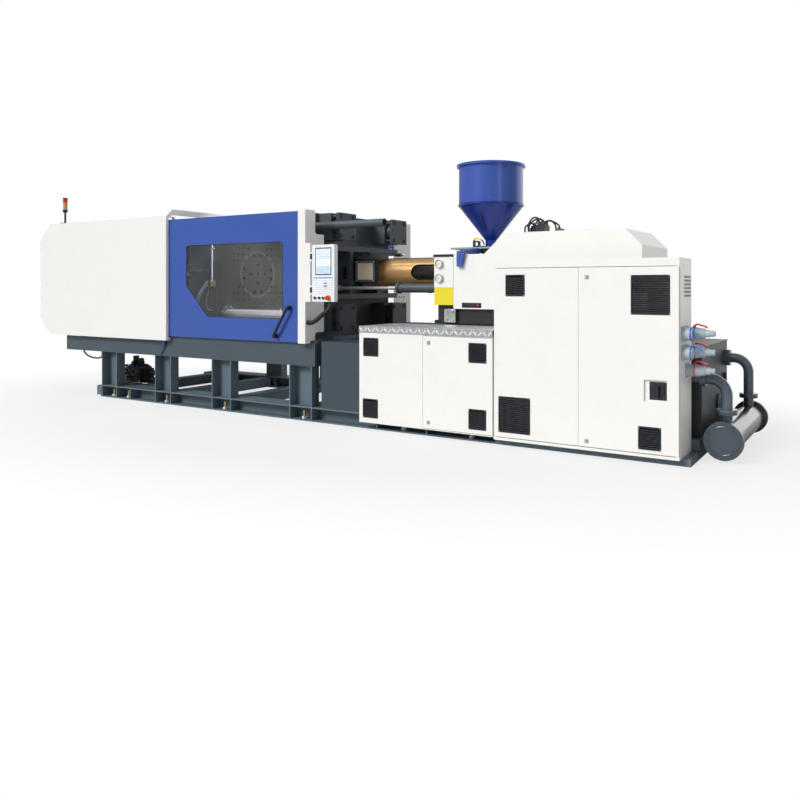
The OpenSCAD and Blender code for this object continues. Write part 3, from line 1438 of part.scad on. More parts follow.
// Pump and motor inside the injection base, on a foot between the rails
module pump_motor() {
  z = 400;
  color(iron) {
    bar_x(340, [1420, 1860], 0, z);
    bar_x(300, [1380, 1421], 0, z);
    bar_x(240, [1859, 1990], 0, z);
    bar_x(160, [1989, 2180], 0, z);
    slab([1460, 1820], [-150, 150], [140, 260]);
    slab([1350, 2260], [-rail_in - 60, rail_in + 60], [rail_h, rail_h + 20]);
  }
}

// Valve manifold standing in the first bay of the base
module valve_manifold() {
  x0 = post_list[0][0] + 50;
  z0 = rail_h - plate_t;
  color(iron) {
    slab([x0, x0 + 210], [-600, -410], [z0, z0 + 190]);
    slab([x0 + 20, x0 + 190], [-590, -420], [z0 + 189, z0 + 204]);
    bar_z(64, x0 + 60, -505, [z0 + 203, z0 + 310]);
    bar_z(64, x0 + 150, -505, [z0 + 203, z0 + 280]);
    for (h = [56, 134]) {
      slab([x0 + 209, x0 + 275], [-545, -465], [z0 + h - 34, z0 + h + 34]);
      bar_x(56, [x0 + 274, x0 + 385], -505, z0 + h);
      bar_x(30, [x0 + 384, x0 + 400], -505, z0 + h);
    }
  }
}

base_rails();
base_struts();
clamp_beams();
injection_base();
levelling_bolts();
fixed_platen();
tie_bars();
tie_bar_nuts();
front_cover();
rear_cover();
guard_frame();
stack_light();
overhead_pipe();
hmi_bracket();
hmi_conduit();
platen_rods();
electrical_cabinet();
power_sockets();
lower_cabinet();
tread_plate();
oil_tank();
heat_exchanger();
cooler_pipes();
pump_motor();
valve_manifold();
front_door();
front_window();
door_handle();
rear_door();
rear_window();
hmi_housing();
estop_button();
tail_stock();
clamp_cylinder();
moving_platen();
ejector_cylinder();
ejector_plate();
upper_rear_link();
lower_rear_link();
upper_front_link();
lower_front_link();
upper_cross_link();
lower_cross_link();
crosshead();
carriage();
barrel();
barrel_cover();
hood();
gauge_panel();
carriage_cylinders();
thrust_plate();
screw();
hopper_base();
hopper();
hopper_gate();
purge_guard();
left_cabinet_door();
right_cabinet_door();
isolator_knob();
lower_door();
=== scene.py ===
import math

import bmesh
import bpy
from mathutils import Matrix, Vector


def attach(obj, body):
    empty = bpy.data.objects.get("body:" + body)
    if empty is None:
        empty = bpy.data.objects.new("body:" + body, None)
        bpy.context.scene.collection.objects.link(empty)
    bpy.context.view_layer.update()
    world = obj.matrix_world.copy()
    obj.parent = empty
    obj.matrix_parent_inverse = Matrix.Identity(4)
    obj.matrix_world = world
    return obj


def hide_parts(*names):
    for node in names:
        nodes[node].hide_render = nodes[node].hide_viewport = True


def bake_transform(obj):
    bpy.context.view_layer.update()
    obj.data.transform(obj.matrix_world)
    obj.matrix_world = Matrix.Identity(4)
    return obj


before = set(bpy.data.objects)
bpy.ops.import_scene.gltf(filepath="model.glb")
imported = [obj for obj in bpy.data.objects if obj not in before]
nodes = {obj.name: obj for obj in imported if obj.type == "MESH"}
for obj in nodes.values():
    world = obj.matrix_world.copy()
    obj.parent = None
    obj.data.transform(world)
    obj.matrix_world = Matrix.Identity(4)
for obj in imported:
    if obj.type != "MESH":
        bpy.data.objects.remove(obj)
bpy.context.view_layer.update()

scene = bpy.context.scene

# Places on the machine in metres. X runs to the injection end, Y away from the operator, Z up
AXIS_Z = 1.352            # injection axis, and the middle between the tie bars
BAR_OFFSET = 0.43         # tie bars from the axis, in Y and in Z
MOVING_FACE_X = -1.040    # mould face of the moving platen
DOOR_FRONT_Y = 0.8894     # window beads, on either side
PANEL_FRONT_Y = -0.9302   # front of the operator panel
BUTTON_Z = 1.117          # row of buttons under the screen
STOP_X = 0.740            # stop button in that row
CONDUIT_Y = -0.896        # plane of the panel's cable tube
CABINET_END_X = 3.752     # end wall that carries the power sockets
HOPPER_X = 1.855          # hopper's axis
GAUGE_X = 1.542           # both pressure gauges
GAUGE_ZS = (1.417, 1.290)
RED_Y, BLUE_Y = -0.712, -0.830
SOCKETS = ((RED_Y, 0.894), (RED_Y, 0.765), (RED_Y, 0.638), (BLUE_Y, 0.894), (BLUE_Y, 0.765))


# Sockets as values, so that shader maths reads as plain expressions
class Val:
    def __init__(self, graph, socket):
        self.graph = graph
        self.socket = socket

    def _two(self, kind, a, b):
        return self.graph.node("ShaderNodeMath", {"operation": kind}, [a, b])

    def __add__(self, other):
        return self._two("ADD", self, other)

    def __radd__(self, other):
        return self._two("ADD", other, self)

    def __sub__(self, other):
        return self._two("SUBTRACT", self, other)

    def __rsub__(self, other):
        return self._two("SUBTRACT", other, self)

    def __mul__(self, other):
        return self._two("MULTIPLY", self, other)

    def __rmul__(self, other):
        return self._two("MULTIPLY", other, self)

    def __truediv__(self, other):
        return self._two("DIVIDE", self, other)

    def __rtruediv__(self, other):
        return self._two("DIVIDE", other, self)

    def __gt__(self, other):
        return self._two("GREATER_THAN", self, other)

    def __lt__(self, other):
        return self._two("LESS_THAN", self, other)

    def fn(self, kind, other=0.0):
        return self._two(kind, self, other)


# A node tree under construction
class Graph:
    def __init__(self, tree):
        self.tree = tree

    def node(self, kind, settings=None, inputs=None, output=0):
        made = self.tree.nodes.new(kind)
        for key, value in (settings or {}).items():
            setattr(made, key, value)
        pairs = enumerate(inputs) if isinstance(inputs, list) else (inputs or {}).items()
        for key, value in pairs:
            self.feed(made.inputs[key], value)
        return Val(self, made.outputs[output])

    def feed(self, socket, value):
        if isinstance(value, Val):
            self.tree.links.new(value.socket, socket)
        elif isinstance(value, tuple) and len(value) == 3 and socket.type == "RGBA":
            socket.default_value = (*value, 1.0)
        else:
            socket.default_value = value


# One material
class Paint(Graph):
    def __init__(self, name):
        self.mat = bpy.data.materials.new(name)
        self.mat.use_nodes = True
        super().__init__(self.mat.node_tree)
        self.shader = self.tree.nodes["Principled BSDF"]
        self._place = None

    def put(self, **values):
        for key, value in values.items():
            self.feed(self.shader.inputs[key.replace("_", " ")], value)
        return self

    def place(self):
        if self._place is None:
            self._place = self.node("ShaderNodeTexCoord", output="Object")
        return self._place

    def xyz(self):
        split = self.node("ShaderNodeSeparateXYZ", inputs=[self.place()]).socket.node
        return [Val(self, output) for output in split.outputs]

    def noise(self, scale, detail=3.0, rough=0.55, stretch=(1, 1, 1)):
        at = self.node("ShaderNodeMapping", inputs={"Vector": self.place(), "Scale": stretch})
        return self.node("ShaderNodeTexNoise", inputs={"Vector": at, "Scale": scale, "Detail": detail,
                                                       "Roughness": rough})

    # The colour sockets of a Mix node: factor 0, A 6, B 7, result 2
    def mix(self, mask, a, b):
        return self.node("ShaderNodeMix", {"data_type": "RGBA", "clamp_factor": True},
                         {0: mask, 6: a, 7: b}, output=2)

    # Lays a colour over the present one where the mask is 1
    def over(self, mask, colour):
        present = Val(self, self.shader.inputs["Base Color"].links[0].from_socket)
        return self.put(Base_Color=self.mix(mask, present, colour))

    def bump(self, height, strength=0.2, distance=0.001):
        return self.put(Normal=self.node("ShaderNodeBump", inputs={"Height": height, "Strength": strength,
                                                                   "Distance": distance}))


def within(value, low, high):
    return (value > low) * (value < high)


# A mask that is 1 where any of the masks is
def any_of(masks):
    total = masks[0]
    for mask in masks[1:]:
        total = total.fn("MAXIMUM", mask)
    return total


def srgb(*shares):
    return tuple(v / 255 / 12.92 if v <= 10 else ((v / 255 + 0.055) / 1.055) ** 2.4 for v in shares)


def darker(colour, share):
    return tuple(c * share for c in colour)


WHITE = srgb(240, 239, 235)
BLUE = srgb(54, 86, 166)
HOPPER = srgb(60, 88, 172)
SLATE = srgb(57, 70, 79)
IRON = srgb(70, 78, 84)
BEAM = srgb(68, 82, 91)
BLACK = srgb(26, 27, 29)
VENT = srgb(34, 38, 45)
TANK = srgb(52, 60, 66)
STEEL = (0.56, 0.57, 0.58)


# Powder-coated or sprayed sheet: faint cloudiness, specks of grime, fine orange peel
def sprayed(name, colour, rough=0.38, peel=420.0, clouds=0.035, coat=0.0, metallic=0.0):
    p = Paint(name)
    cloud = p.noise(3.1, 4.0)
    grime = p.noise(11.0, 5.0, 0.65)
    shade = p.mix(cloud, darker(colour, 1 - clouds), colour)
    shade = p.mix(grime.fn("POWER", 4.0) * 0.5, shade, darker(colour, 0.8))
    p.put(Base_Color=shade, Roughness=cloud * 0.12 + rough - 0.06, Metallic=metallic,
          Coat_Weight=coat, Coat_Roughness=0.18)
    p.bump(p.noise(peel, 2.0), 0.06, 0.0006)
    return p


# Painted casting: pebbled skin with darker hollows
def cast(name, colour, rough=0.5):
    p = Paint(name)
    skin = p.noise(95.0, 4.0, 0.6)
    blot = p.noise(6.0, 4.0)
    shade = p.mix(blot, darker(colour, 0.82), darker(colour, 1.1))
    shade = p.mix(skin.fn("POWER", 3.0), shade, darker(colour, 0.6))
    p.put(Base_Color=shade, Roughness=skin * 0.2 + rough - 0.1)
    p.bump(skin, 0.22, 0.0014)
    return p


# Ground or turned steel with fine grain along one direction
def ground(name, colour=STEEL, rough=0.3, stretch=(1, 40, 40), scale=18.0, metallic=1.0):
    p = Paint(name)
    grain = p.noise(scale, 4.0, 0.6, stretch)
    blot = p.noise(7.0, 3.0)
    shade = p.mix(grain, darker(colour, 0.8), darker(colour, 1.12))
    shade = p.mix(blot * 0.35, shade, darker(colour, 0.75))
    p.put(Base_Color=shade, Roughness=grain * 0.16 + rough - 0.08, Metallic=metallic)
    p.bump(grain, 0.06, 0.0005)
    return p


# Moulded plastic with a fine spark-eroded grain
def moulded(name, colour, rough=0.45, grain=700.0):
    p = Paint(name)
    spark = p.noise(grain, 2.0)
    tone = p.noise(9.0, 3.0)
    p.put(Base_Color=p.mix(tone, darker(colour, 0.88), darker(colour, 1.06)),
          Roughness=spark * 0.14 + rough - 0.07)
    p.bump(spark, 0.12, 0.0005)
    return p


# A mask that is 1 inside any of the rectangles, each given as x0, x1, z0, z1
def rectangles(p, boxes):
    x, _, z = p.xyz()
    return any_of([within(x, x0, x1) * within(z, z0, z1) for x0, x1, z0, z1 in boxes])


# White cabinet paint with black grilles and steel locks
def cabinet_paint(name, grilles, locks=()):
    p = sprayed(name, WHITE, 0.36)
    p.over(rectangles(p, grilles), VENT)
    if locks:
        spots = rectangles(p, locks)
        p.over(spots, (0.5, 0.51, 0.52)).put(Metallic=spots)
    return p


# Painted casting with an uncoated steel mould face between x = low and high. Behind the face, the walls of
# the drilled hole pattern are painted near-black as painted shade, and the face is stained, wiped in streaks,
# and worn in a ring round the axis
def platen_paint(name, low, high):
    p = cast(name, IRON)
    x, y, z = p.xyz()
    across, rise = 0.545, 0.515
    face = within(x, low, high)
    # Near-black paint on the walls of the drilled hole pattern behind the face: painted shade
    painted_hole_shade = (within(x, low - 0.12, high + 0.12) * within(y, -across, across)
             * within(z, AXIS_Z - rise, AXIS_Z + rise))
    p.over(painted_hole_shade, (0.006, 0.006, 0.007))
    swirl = p.noise(60.0, 3.0, 0.6, (1, 12, 1))
    # The steel face is painted far darker than steel, as painted shade of the dim mould space; the stains,
    # wipes and ring over it are real marks
    bare_shade_and_wear = p.mix(swirl, (0.043, 0.039, 0.034), (0.089, 0.083, 0.073))
    stain = p.noise(4.0, 4.0)
    bare_shade_and_wear = p.mix(stain * 0.6, bare_shade_and_wear, (0.034, 0.030, 0.026))
    wiped = p.noise(2.4, 5.0, 0.62, (1, 0.3, 1))
    bare_shade_and_wear = p.mix(wiped.fn("POWER", 2.0), bare_shade_and_wear, (0.127, 0.112, 0.092))
    reach = (y * y + (z - AXIS_Z) * (z - AXIS_Z)).fn("SQRT")
    bare_shade_and_wear = p.mix(within(reach, 0.232, 0.262) * stain, bare_shade_and_wear, (0.17, 0.155, 0.13))
    p.over(face, bare_shade_and_wear)
    p.put(Metallic=face * 0.85, Roughness=0.5 - face * 0.16)
    return p


# Chequer plate: small raised lozenges in two crossing directions
def chequer():
    p = Paint("chequer_plate")
    x, y, z = p.xyz()
    pitch = 0.060
    half_length, half_width = 0.40, 0.13
    lozenges = []
    for sign, shift in ((1, 0.0), (-1, 0.5)):
        run = y + z
        u = (x + run * sign) / (pitch * 1.41) + shift
        v = (run - x * sign) / (pitch * 1.41) + shift
        fu = (u.fn("FRACT") - 0.5).fn("ABSOLUTE") / half_length
        fv = (v.fn("FRACT") - 0.5).fn("ABSOLUTE") / half_width
        lozenges.append((1.0 - (fu * fu + fv * fv)).fn("MAXIMUM", 0.0))
    tall = any_of(lozenges)
    scuff = p.noise(14.0, 5.0, 0.6)
    worn = p.mix(tall.fn("POWER", 0.4), (0.42, 0.43, 0.45), (0.95, 0.95, 0.97))
    worn = p.mix(scuff.fn("POWER", 3.0), worn, (0.26, 0.26, 0.26))
    p.put(Base_Color=worn, Metallic=0.45, Roughness=0.42 - tall * 0.16)
    p.bump(tall, 0.9, 0.002)
    return p


# Clear door pane: thin tinted sheet that lets the mould space show
def clear_pane(name, tint, cover):
    p = Paint(name)
    smear = p.noise(5.0, 4.0)
    p.put(Base_Color=p.mix(smear, tint, darker(tint, 0.85)), Roughness=smear * 0.05 + 0.03,
          Alpha=smear * 0.05 + cover)
    p.mat.surface_render_method = "BLENDED"
    return p


# Signal tower: green, amber and red lenses between black caps
def tower():
    p = Paint("tower_lenses")
    z = p.xyz()[2]
    foot = 1.9403
    height = z - foot
    body = BLACK
    for start, colour in ((0.158, srgb(150, 196, 158)), (0.2, srgb(235, 150, 40)), (0.242, srgb(215, 40, 36)),
                          (0.2841, BLACK)):
        body = p.mix(height > start, body, colour)
    pole = within(height, 0.0085, 0.1295)
    body = p.mix(pole, body, (0.10, 0.10, 0.11))
    ribs = (z * 260.0).fn("FRACT")
    grit = p.noise(300.0, 2.0)
    p.put(Base_Color=p.mix(grit * 0.2, body, BLACK), Metallic=pole, Roughness=grit * 0.1 + 0.22)
    p.bump(ribs, 0.25, 0.0008)
    return p


def give(paint, *names):
    for name in names:
        slots = nodes[name].data.materials
        if not slots:
            slots.append(paint.mat)
        for i in range(len(slots)):
            slots[i] = paint.mat


# New pieces are bmeshes turned into objects at the origin
def piece(name, bm, paint, body, smooth=True, bevel=0.0, segments=2, angle=35):
    bmesh.ops.recalc_face_normals(bm, faces=bm.faces)
    mesh = bpy.data.meshes.new(name)
    bm.to_mesh(mesh)
    bm.free()
    obj = bpy.data.objects.new(name, mesh)
    scene.collection.objects.link(obj)
    mesh.materials.append(paint.mat)
    if bevel:
        rim = obj.modifiers.new("rim", "BEVEL")
        rim.width = bevel
        rim.segments = segments
        rim.limit_method = "ANGLE"
        rim.angle_limit = math.radians(40)
    if smooth:
        for face in mesh.polygons:
            face.use_smooth = True
        mesh.set_sharp_from_angle(angle=math.radians(angle))
    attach(obj, body)
    return obj


def block(bm, low, high):
    low, high = Vector(low), Vector(high)
    made = bmesh.ops.create_cube(bm, size=1.0)
    bmesh.ops.scale(bm, vec=high - low, verts=made["verts"])
    bmesh.ops.translate(bm, vec=(low + high) / 2, verts=made["verts"])
    return made["verts"]


# Turns a shape that stands along Z to another axis
def turned(axis):
    return {"x": Matrix.Rotation(math.pi / 2, 3, "Y"),
            "y": Matrix.Rotation(math.pi / 2, 3, "X"),
            "z": Matrix.Identity(3)}[axis]


def rod(bm, centre, radius, length, axis="z", sides=32, radius2=None):
    made = bmesh.ops.create_cone(bm, cap_ends=True, segments=sides, radius1=radius,
                                 radius2=radius if radius2 is None else radius2, depth=length)
    bmesh.ops.rotate(bm, matrix=turned(axis), verts=made["verts"])
    bmesh.ops.translate(bm, vec=centre, verts=made["verts"])
    return made["verts"]


# A profile of (radius, height) pairs spun round an axis, beside what the mesh already holds
def spun(bm, profile, centre, axis="z", sides=40):
    old = set(bm.verts)
    verts = [bm.verts.new((r, 0, h)) for r, h in profile]
    edges = [bm.edges.new(pair) for pair in zip(verts, verts[1:])]
    bmesh.ops.spin(bm, geom=verts + edges, cent=(0, 0, 0), axis=(0, 0, 1), steps=sides,
                   angle=math.tau, use_merge=True)
    made = [v for v in bm.verts if v not in old]
    bmesh.ops.remove_doubles(bm, verts=made, dist=1e-6)
    made = [v for v in bm.verts if v not in old]
    bmesh.ops.rotate(bm, matrix=turned(axis), verts=made)
    bmesh.ops.translate(bm, vec=centre, verts=made)


# A round hose or wire along smooth points
def hose(name, points, radius, paint, body, sides=12, steps=10):
    bm = bmesh.new()
    pts = [Vector(p) for p in points]
    path = []
    for i in range(len(pts) - 1):
        p0 = pts[max(i - 1, 0)]
        p1, p2 = pts[i], pts[i + 1]
        p3 = pts[min(i + 2, len(pts) - 1)]
        for k in range(steps):
            t = k / steps
            path.append(0.5 * ((2 * p1) + (p2 - p0) * t + (2 * p0 - 5 * p1 + 4 * p2 - p3) * t * t
                               + (3 * p1 - p0 - 3 * p2 + p3) * t * t * t))
    path.append(pts[-1])
    ring = bmesh.ops.create_circle(bm, segments=sides, radius=radius)["verts"]
    heading = (path[1] - path[0]).normalized()
    turn = Vector((0, 0, 1)).rotation_difference(heading)
    bmesh.ops.rotate(bm, matrix=turn.to_matrix(), verts=ring)
    bmesh.ops.translate(bm, vec=path[0], verts=ring)
    edges = list(dict.fromkeys(e for v in ring for e in v.link_edges))
    bmesh.ops.contextual_create(bm, geom=edges)
    last = heading
    for before, here, after in zip(path, path[1:], path[2:] + [path[-1] * 2 - path[-2]]):
        made = bmesh.ops.extrude_edge_only(bm, edges=edges)["geom"]
        ring = [g for g in made if isinstance(g, bmesh.types.BMVert)]
        edges = [g for g in made if isinstance(g, bmesh.types.BMEdge)]
        heading = (after - before).normalized()
        bmesh.ops.translate(bm, vec=here - before, verts=ring)
        turn = last.rotation_difference(heading)
        bmesh.ops.rotate(bm, cent=here, matrix=turn.to_matrix(), verts=ring)
        last = heading
    bmesh.ops.contextual_create(bm, geom=edges)
    return piece(name, bm, paint, body, angle=60)


# Hexagon screws on their washers, all in one mesh
def screws(name, spots, body, radius=0.007, height=0.005, axis="y"):
    bm = bmesh.new()
    for spot in spots:
        rod(bm, spot, radius, height, axis, 6)
        rod(bm, spot, radius * 1.35, height * 0.35, axis, 20)
    piece(name, bm, zinc, body, bevel=radius * 0.12, segments=1)


# Paints and metals that several pieces share
white = sprayed("cover_paint", WHITE, 0.36)
blue = sprayed("door_paint", BLUE, 0.34)
iron = cast("casting_paint", IRON)
black = sprayed("black_paint", BLACK, 0.42, peel=300.0, clouds=0.1)
plastic = moulded("black_plastic", BLACK)
grey_plastic = moulded("grey_plastic", srgb(176, 188, 198), 0.4)
red_plastic = moulded("red_plastic", srgb(214, 40, 38), 0.3)
blue_plastic = moulded("blue_plastic", srgb(52, 120, 205), 0.3)
rubber = moulded("hose_rubber", srgb(30, 31, 33), 0.6, grain=500.0)
steel_turned = ground("steel_turned", rough=0.24, stretch=(60, 2, 2), scale=8.0)
zinc = ground("zinc_screws", (0.62, 0.62, 0.6), 0.34, stretch=(1, 1, 1), scale=120.0)
brass = ground("brass_fittings", (0.72, 0.5, 0.22), 0.3, stretch=(1, 1, 1), scale=120.0)

# Bed and clamp
beam_look = {"rough": 0.44, "peel": 260.0, "clouds": 0.08}
give(sprayed("beam_paint", BEAM, **beam_look), "clamp_beams")
# The rails and struts get a lighter copy of the slate paint: painted light that offsets the shade under the
# machine
give(sprayed("bed_paint", srgb(96, 112, 122), **beam_look), "base_rails", "base_struts")
give(sprayed("base_paint", SLATE, **beam_look), "injection_base")
feet = ground("levelling_paint", (0.72, 0.52, 0.26), 0.34, stretch=(1, 1, 1), scale=90.0)
pad = feet.xyz()[2] < 0.034
feet.over(pad, (0.74, 0.74, 0.72)).put(Metallic=1.0 - pad)
give(feet, "levelling_bolts")
give(platen_paint("fixed_platen_paint", -0.001, 0.0004), "fixed_platen")
give(platen_paint("moving_platen_paint", MOVING_FACE_X - 0.0004, MOVING_FACE_X + 0.01), "moving_platen")
bar_grain = {"stretch": (90, 1, 1), "scale": 6.0}
give(ground("bar_chrome", (0.72, 0.73, 0.74), 0.18, metallic=0.7, **bar_grain), "tie_bars")
give(ground("rod_chrome", (0.74, 0.75, 0.76), 0.24, metallic=0.55, **bar_grain), "platen_rods")
give(cast("nut_paint", srgb(50, 58, 66)), "tie_bar_nuts")
give(iron, "tail_stock", "clamp_cylinder", "ejector_cylinder", "thrust_plate",
     "overhead_pipe", "valve_manifold", "pump_motor", "carriage_cylinders")
give(steel_turned, "ejector_plate", "crosshead", "barrel", "screw")
links = [f"{side}_{kind}_link" for side in ("upper", "lower") for kind in ("rear", "front", "cross")]
give(ground("link_steel", (0.42, 0.43, 0.44), 0.38, stretch=(1, 8, 1), scale=30.0), *links)

# Covers, doors and guard posts, with three small black discs low in the far post, painted shade for small
# openings
give(white, "front_cover", "rear_cover", "hood")
give(blue, "front_door", "rear_door")
give(clear_pane("door_pane", (0.8, 0.86, 0.9), 0.008), "front_window", "rear_window")
post = sprayed("guard_post_paint", WHITE, 0.36)
x, y, z = post.xyz()
hole_z, hole_radius, post_side_x = 1.102, 0.011, 0.355
rise = z - hole_z
painted_hole_shade = [(y - middle) * (y - middle) + rise * rise < hole_radius ** 2 for middle in (0.7097, 0.756, 0.8027)]
# Three black discs on the post's side: painted shade for small openings
post.over(any_of(painted_hole_shade) * (x > post_side_x), BLACK)
give(post, "guard_frame")
give(tower(), "stack_light")
give(plastic, "hmi_conduit", "door_handle", "isolator_knob", "hopper_gate")


# Operator panel and its arm: black hinge knuckles, black push buttons
def knuckles(p):
    x, _, z = p.xyz()
    return within(x, 0.527, 0.553) * any_of([within(z, 1.160, 1.210), within(z, 1.458, 1.508)])


housing = sprayed("panel_housing_paint", srgb(236, 239, 243), 0.34)
x, y, z = housing.xyz()
buttons = (y < -0.9306) * within(z, 1.095, 1.140) * (x < 0.705)
housing.over(any_of([knuckles(housing), buttons]), BLACK)
give(housing, "hmi_housing")
arm = sprayed("swivel_arm_paint", WHITE, 0.36)
arm.over(knuckles(arm), BLACK)
give(arm, "hmi_bracket")
give(red_plastic, "estop_button")

# Purge guard with its tan pane, painted on the solid and a little clear. The bright tan is painted light: it
# stands for the gold jacket behind as if lit, where that jacket lies in shade
shield = sprayed("purge_guard_paint", BLACK, 0.4, peel=300.0, clouds=0.1)
x, y, z = shield.xyz()
pane = within(x, 0.4965, 0.6855) * within(z, 1.2825, 1.4455) * within(y, -0.206, -0.196)
shield.over(pane, (1.0, 0.84, 0.64)).put(Alpha=1.0 - pane * 0.22)
shield.mat.surface_render_method = "BLENDED"
give(shield, "purge_guard")

# Injection unit. The hopper's cone is painted a deeper, darker blue than its drum: painted shade on the
# downward-facing cone
give(black, "carriage")
gold = sprayed("barrel_jacket_paint", srgb(214, 172, 112), 0.3, peel=200.0, clouds=0.12, coat=0.2,
               metallic=0.45)
give(gold, "barrel_cover")
hopper_blue = sprayed("hopper_paint", HOPPER, 0.28, peel=300.0, clouds=0.05, coat=0.2, metallic=0.1)
# Darker blue below the drum: painted shade on the cone
hopper_blue.over(hopper_blue.xyz()[2] < 1.956, srgb(14, 46, 138))
give(hopper_blue, "hopper")
slide = sprayed("slide_plate_paint", srgb(150, 166, 158), 0.4)
slide.over(slide.xyz()[2] < 1.5562, BLUE)
give(slide, "hopper_base")

# Gauge panel: white sheet, yellow lower sheet, black cap, steel gauge cases
gauge = sprayed("gauge_panel_paint", WHITE, 0.36)
_, y, z = gauge.xyz()
gauge.over(z < 1.2075, srgb(232, 214, 40))
gauge.over(y < -0.3795, (0.5, 0.5, 0.5))
gauge.over(z > 1.4775, BLACK)
give(gauge, "gauge_panel")

# Tank, cooler with its dull tube between painted ends, pipes, sockets
give(sprayed("tank_paint", TANK, 0.4, peel=200.0, clouds=0.1), "oil_tank")
cooler = sprayed("cooler_paint", srgb(66, 78, 88), 0.2, peel=200.0, clouds=0.08, coat=0.7, metallic=0.2)
x, y, z = cooler.xyz()
cooler.over(within(y, -0.608, 0.486) * (x > 3.86) * (z < 0.262), srgb(48, 47, 46))
give(cooler, "heat_exchanger")
# The pipes get a lighter copy of the cooler's paint: painted light that offsets the shade they lie in
give(sprayed("pipe_paint", srgb(86, 100, 112), 0.24, peel=200.0, clouds=0.08, coat=0.6, metallic=0.1),
     "cooler_pipes")
give(grey_plastic, "power_sockets")

# Cabinets: grilles and locks as x0, x1, z0, z1 on their front
vents_left = [(2.460, 2.621, 1.142, 1.305), (2.400, 2.665, 0.111, 0.385)]
vents_right = [(3.422, 3.692, 1.022, 1.296), (3.473, 3.632, 0.099, 0.259)]
vents_low = [(1.118, 1.277, 0.627, 0.784), (1.113, 1.273, 0.108, 0.270)]
vents_door = [(2.139, 2.299, 0.623, 0.779), (2.139, 2.297, 0.106, 0.266)]
isolator_plate = (3.548, 3.668, 0.444, 0.567)
give(cabinet_paint("left_door_paint", vents_left), "left_cabinet_door")
give(cabinet_paint("right_door_paint", vents_right + [isolator_plate],
                   [(3.090, 3.120, 1.268, 1.298), (3.088, 3.118, 0.101, 0.131)]), "right_cabinet_door")
give(cabinet_paint("low_panel_paint", vents_low), "lower_cabinet")
give(cabinet_paint("low_door_paint", vents_door,
                   [(1.758, 1.788, 0.749, 0.779), (1.755, 1.785, 0.109, 0.139)]), "lower_door")
body_paint = sprayed("cabinet_body_paint", WHITE, 0.36)
x, y, _ = body_paint.xyz()
body_paint.over(within(y, -0.802, -0.610) * (x > CABINET_END_X + 0.0002), VENT)
give(body_paint, "electrical_cabinet")
give(chequer(), "tread_plate")


# A closed outline of points with its corners rounded
def rounded(points, radius, steps):
    out = []
    for i, point in enumerate(points):
        here = Vector(point)
        a = here + (Vector(points[i - 1]) - here).normalized() * radius
        b = here + (Vector(points[(i + 1) % len(points)]) - here).normalized() * radius
        for k in range(steps + 1):
            t = k / steps
            out.append(a * (1 - t) ** 2 + here * 2 * t * (1 - t) + b * t ** 2)
    return out


# Rubber bead round the window of each door, as (x, z)
window = [(0.165, 0.920), (0.165, 1.628), (-1.134, 1.628), (-1.134, 1.224), (-0.830, 0.920)]
for side, name, body in ((-1, "front_window_bead", "front_door"), (1, "rear_window_bead", "rear_door")):
    loop = [(v.x, side * DOOR_FRONT_Y, v.y) for v in rounded(window, 0.030, 7)]
    hose(name, loop + [loop[0]], 0.0027, rubber, body, sides=8, steps=1)

# Screen with plain bars and a curve, and the membrane keys under it
screen_paint = Paint("screen_glass")
x, _, z = screen_paint.xyz()
rows = ((z * 62.0).fn("FRACT") > 0.62) * within(x, 0.606, 0.748)
dashes = rows * (screen_paint.noise(160.0, 1.0) > 0.5)
field = screen_paint.mix(z > 1.46, (0.55, 0.68, 0.85), (0.72, 0.80, 0.90))
field = screen_paint.mix(within(z, 1.40, 1.455), field, (0.86, 0.91, 0.96))
wave = (x * 95.0).fn("SINE")
curve = ((z - 1.428 - wave * 0.013).fn("ABSOLUTE") < 0.0014) * within(x, 0.600, 0.755)
field = screen_paint.mix(dashes * (z > 1.46) * 0.7, field, (0.08, 0.14, 0.3))
field = screen_paint.mix(dashes * (z < 1.395) * 0.8, field, (0.1, 0.22, 0.5))
field = screen_paint.mix(curve, field, (0.05, 0.2, 0.6))
border = 1.0 - within(x, 0.5965, 0.7615) * within(z, 1.3265, 1.5495)
field = screen_paint.mix(border, field, (0.02, 0.022, 0.026))
screen_paint.put(Base_Color=field, Emission_Color=field, Emission_Strength=0.22,
                 Roughness=border * 0.15 + 0.12)
bm = bmesh.new()
block(bm, (0.5885, -0.9298, 1.3175), (0.7715, -0.9262, 1.5585))
piece("screen", bm, screen_paint, "hmi", bevel=0.0012)

keys_paint = moulded("key_sheet", (0.80, 0.82, 0.83), 0.4)
x, _, z = keys_paint.xyz()
ramp = ((x * 70.0).fn("FRACT") - 0.5).fn("ABSOLUTE")
teeth = within(z, 1.288, 1.2995) * ((z - 1.288) * 45.0 < 1.0 - ramp * 2.0)
lines = within(z, 1.150, 1.280) * ((z * 52.0).fn("FRACT") > 0.84) * (keys_paint.noise(120.0, 1.0) > 0.42)
caps = within(x, 0.685, 0.722) * ((z * 40.0).fn("FRACT") > 0.55) * within(z, 1.198, 1.262)
tint = keys_paint.mix(lines, (0.82, 0.84, 0.86), (0.45, 0.52, 0.66))
tint = keys_paint.mix(any_of([teeth, caps]), tint, (0.05, 0.12, 0.42))
keys_paint.put(Base_Color=tint)
bm = bmesh.new()
block(bm, (0.570, -0.9306, 1.142), (0.788, -0.9299, 1.306))
piece("key_sheet", bm, keys_paint, "hmi", smooth=False)

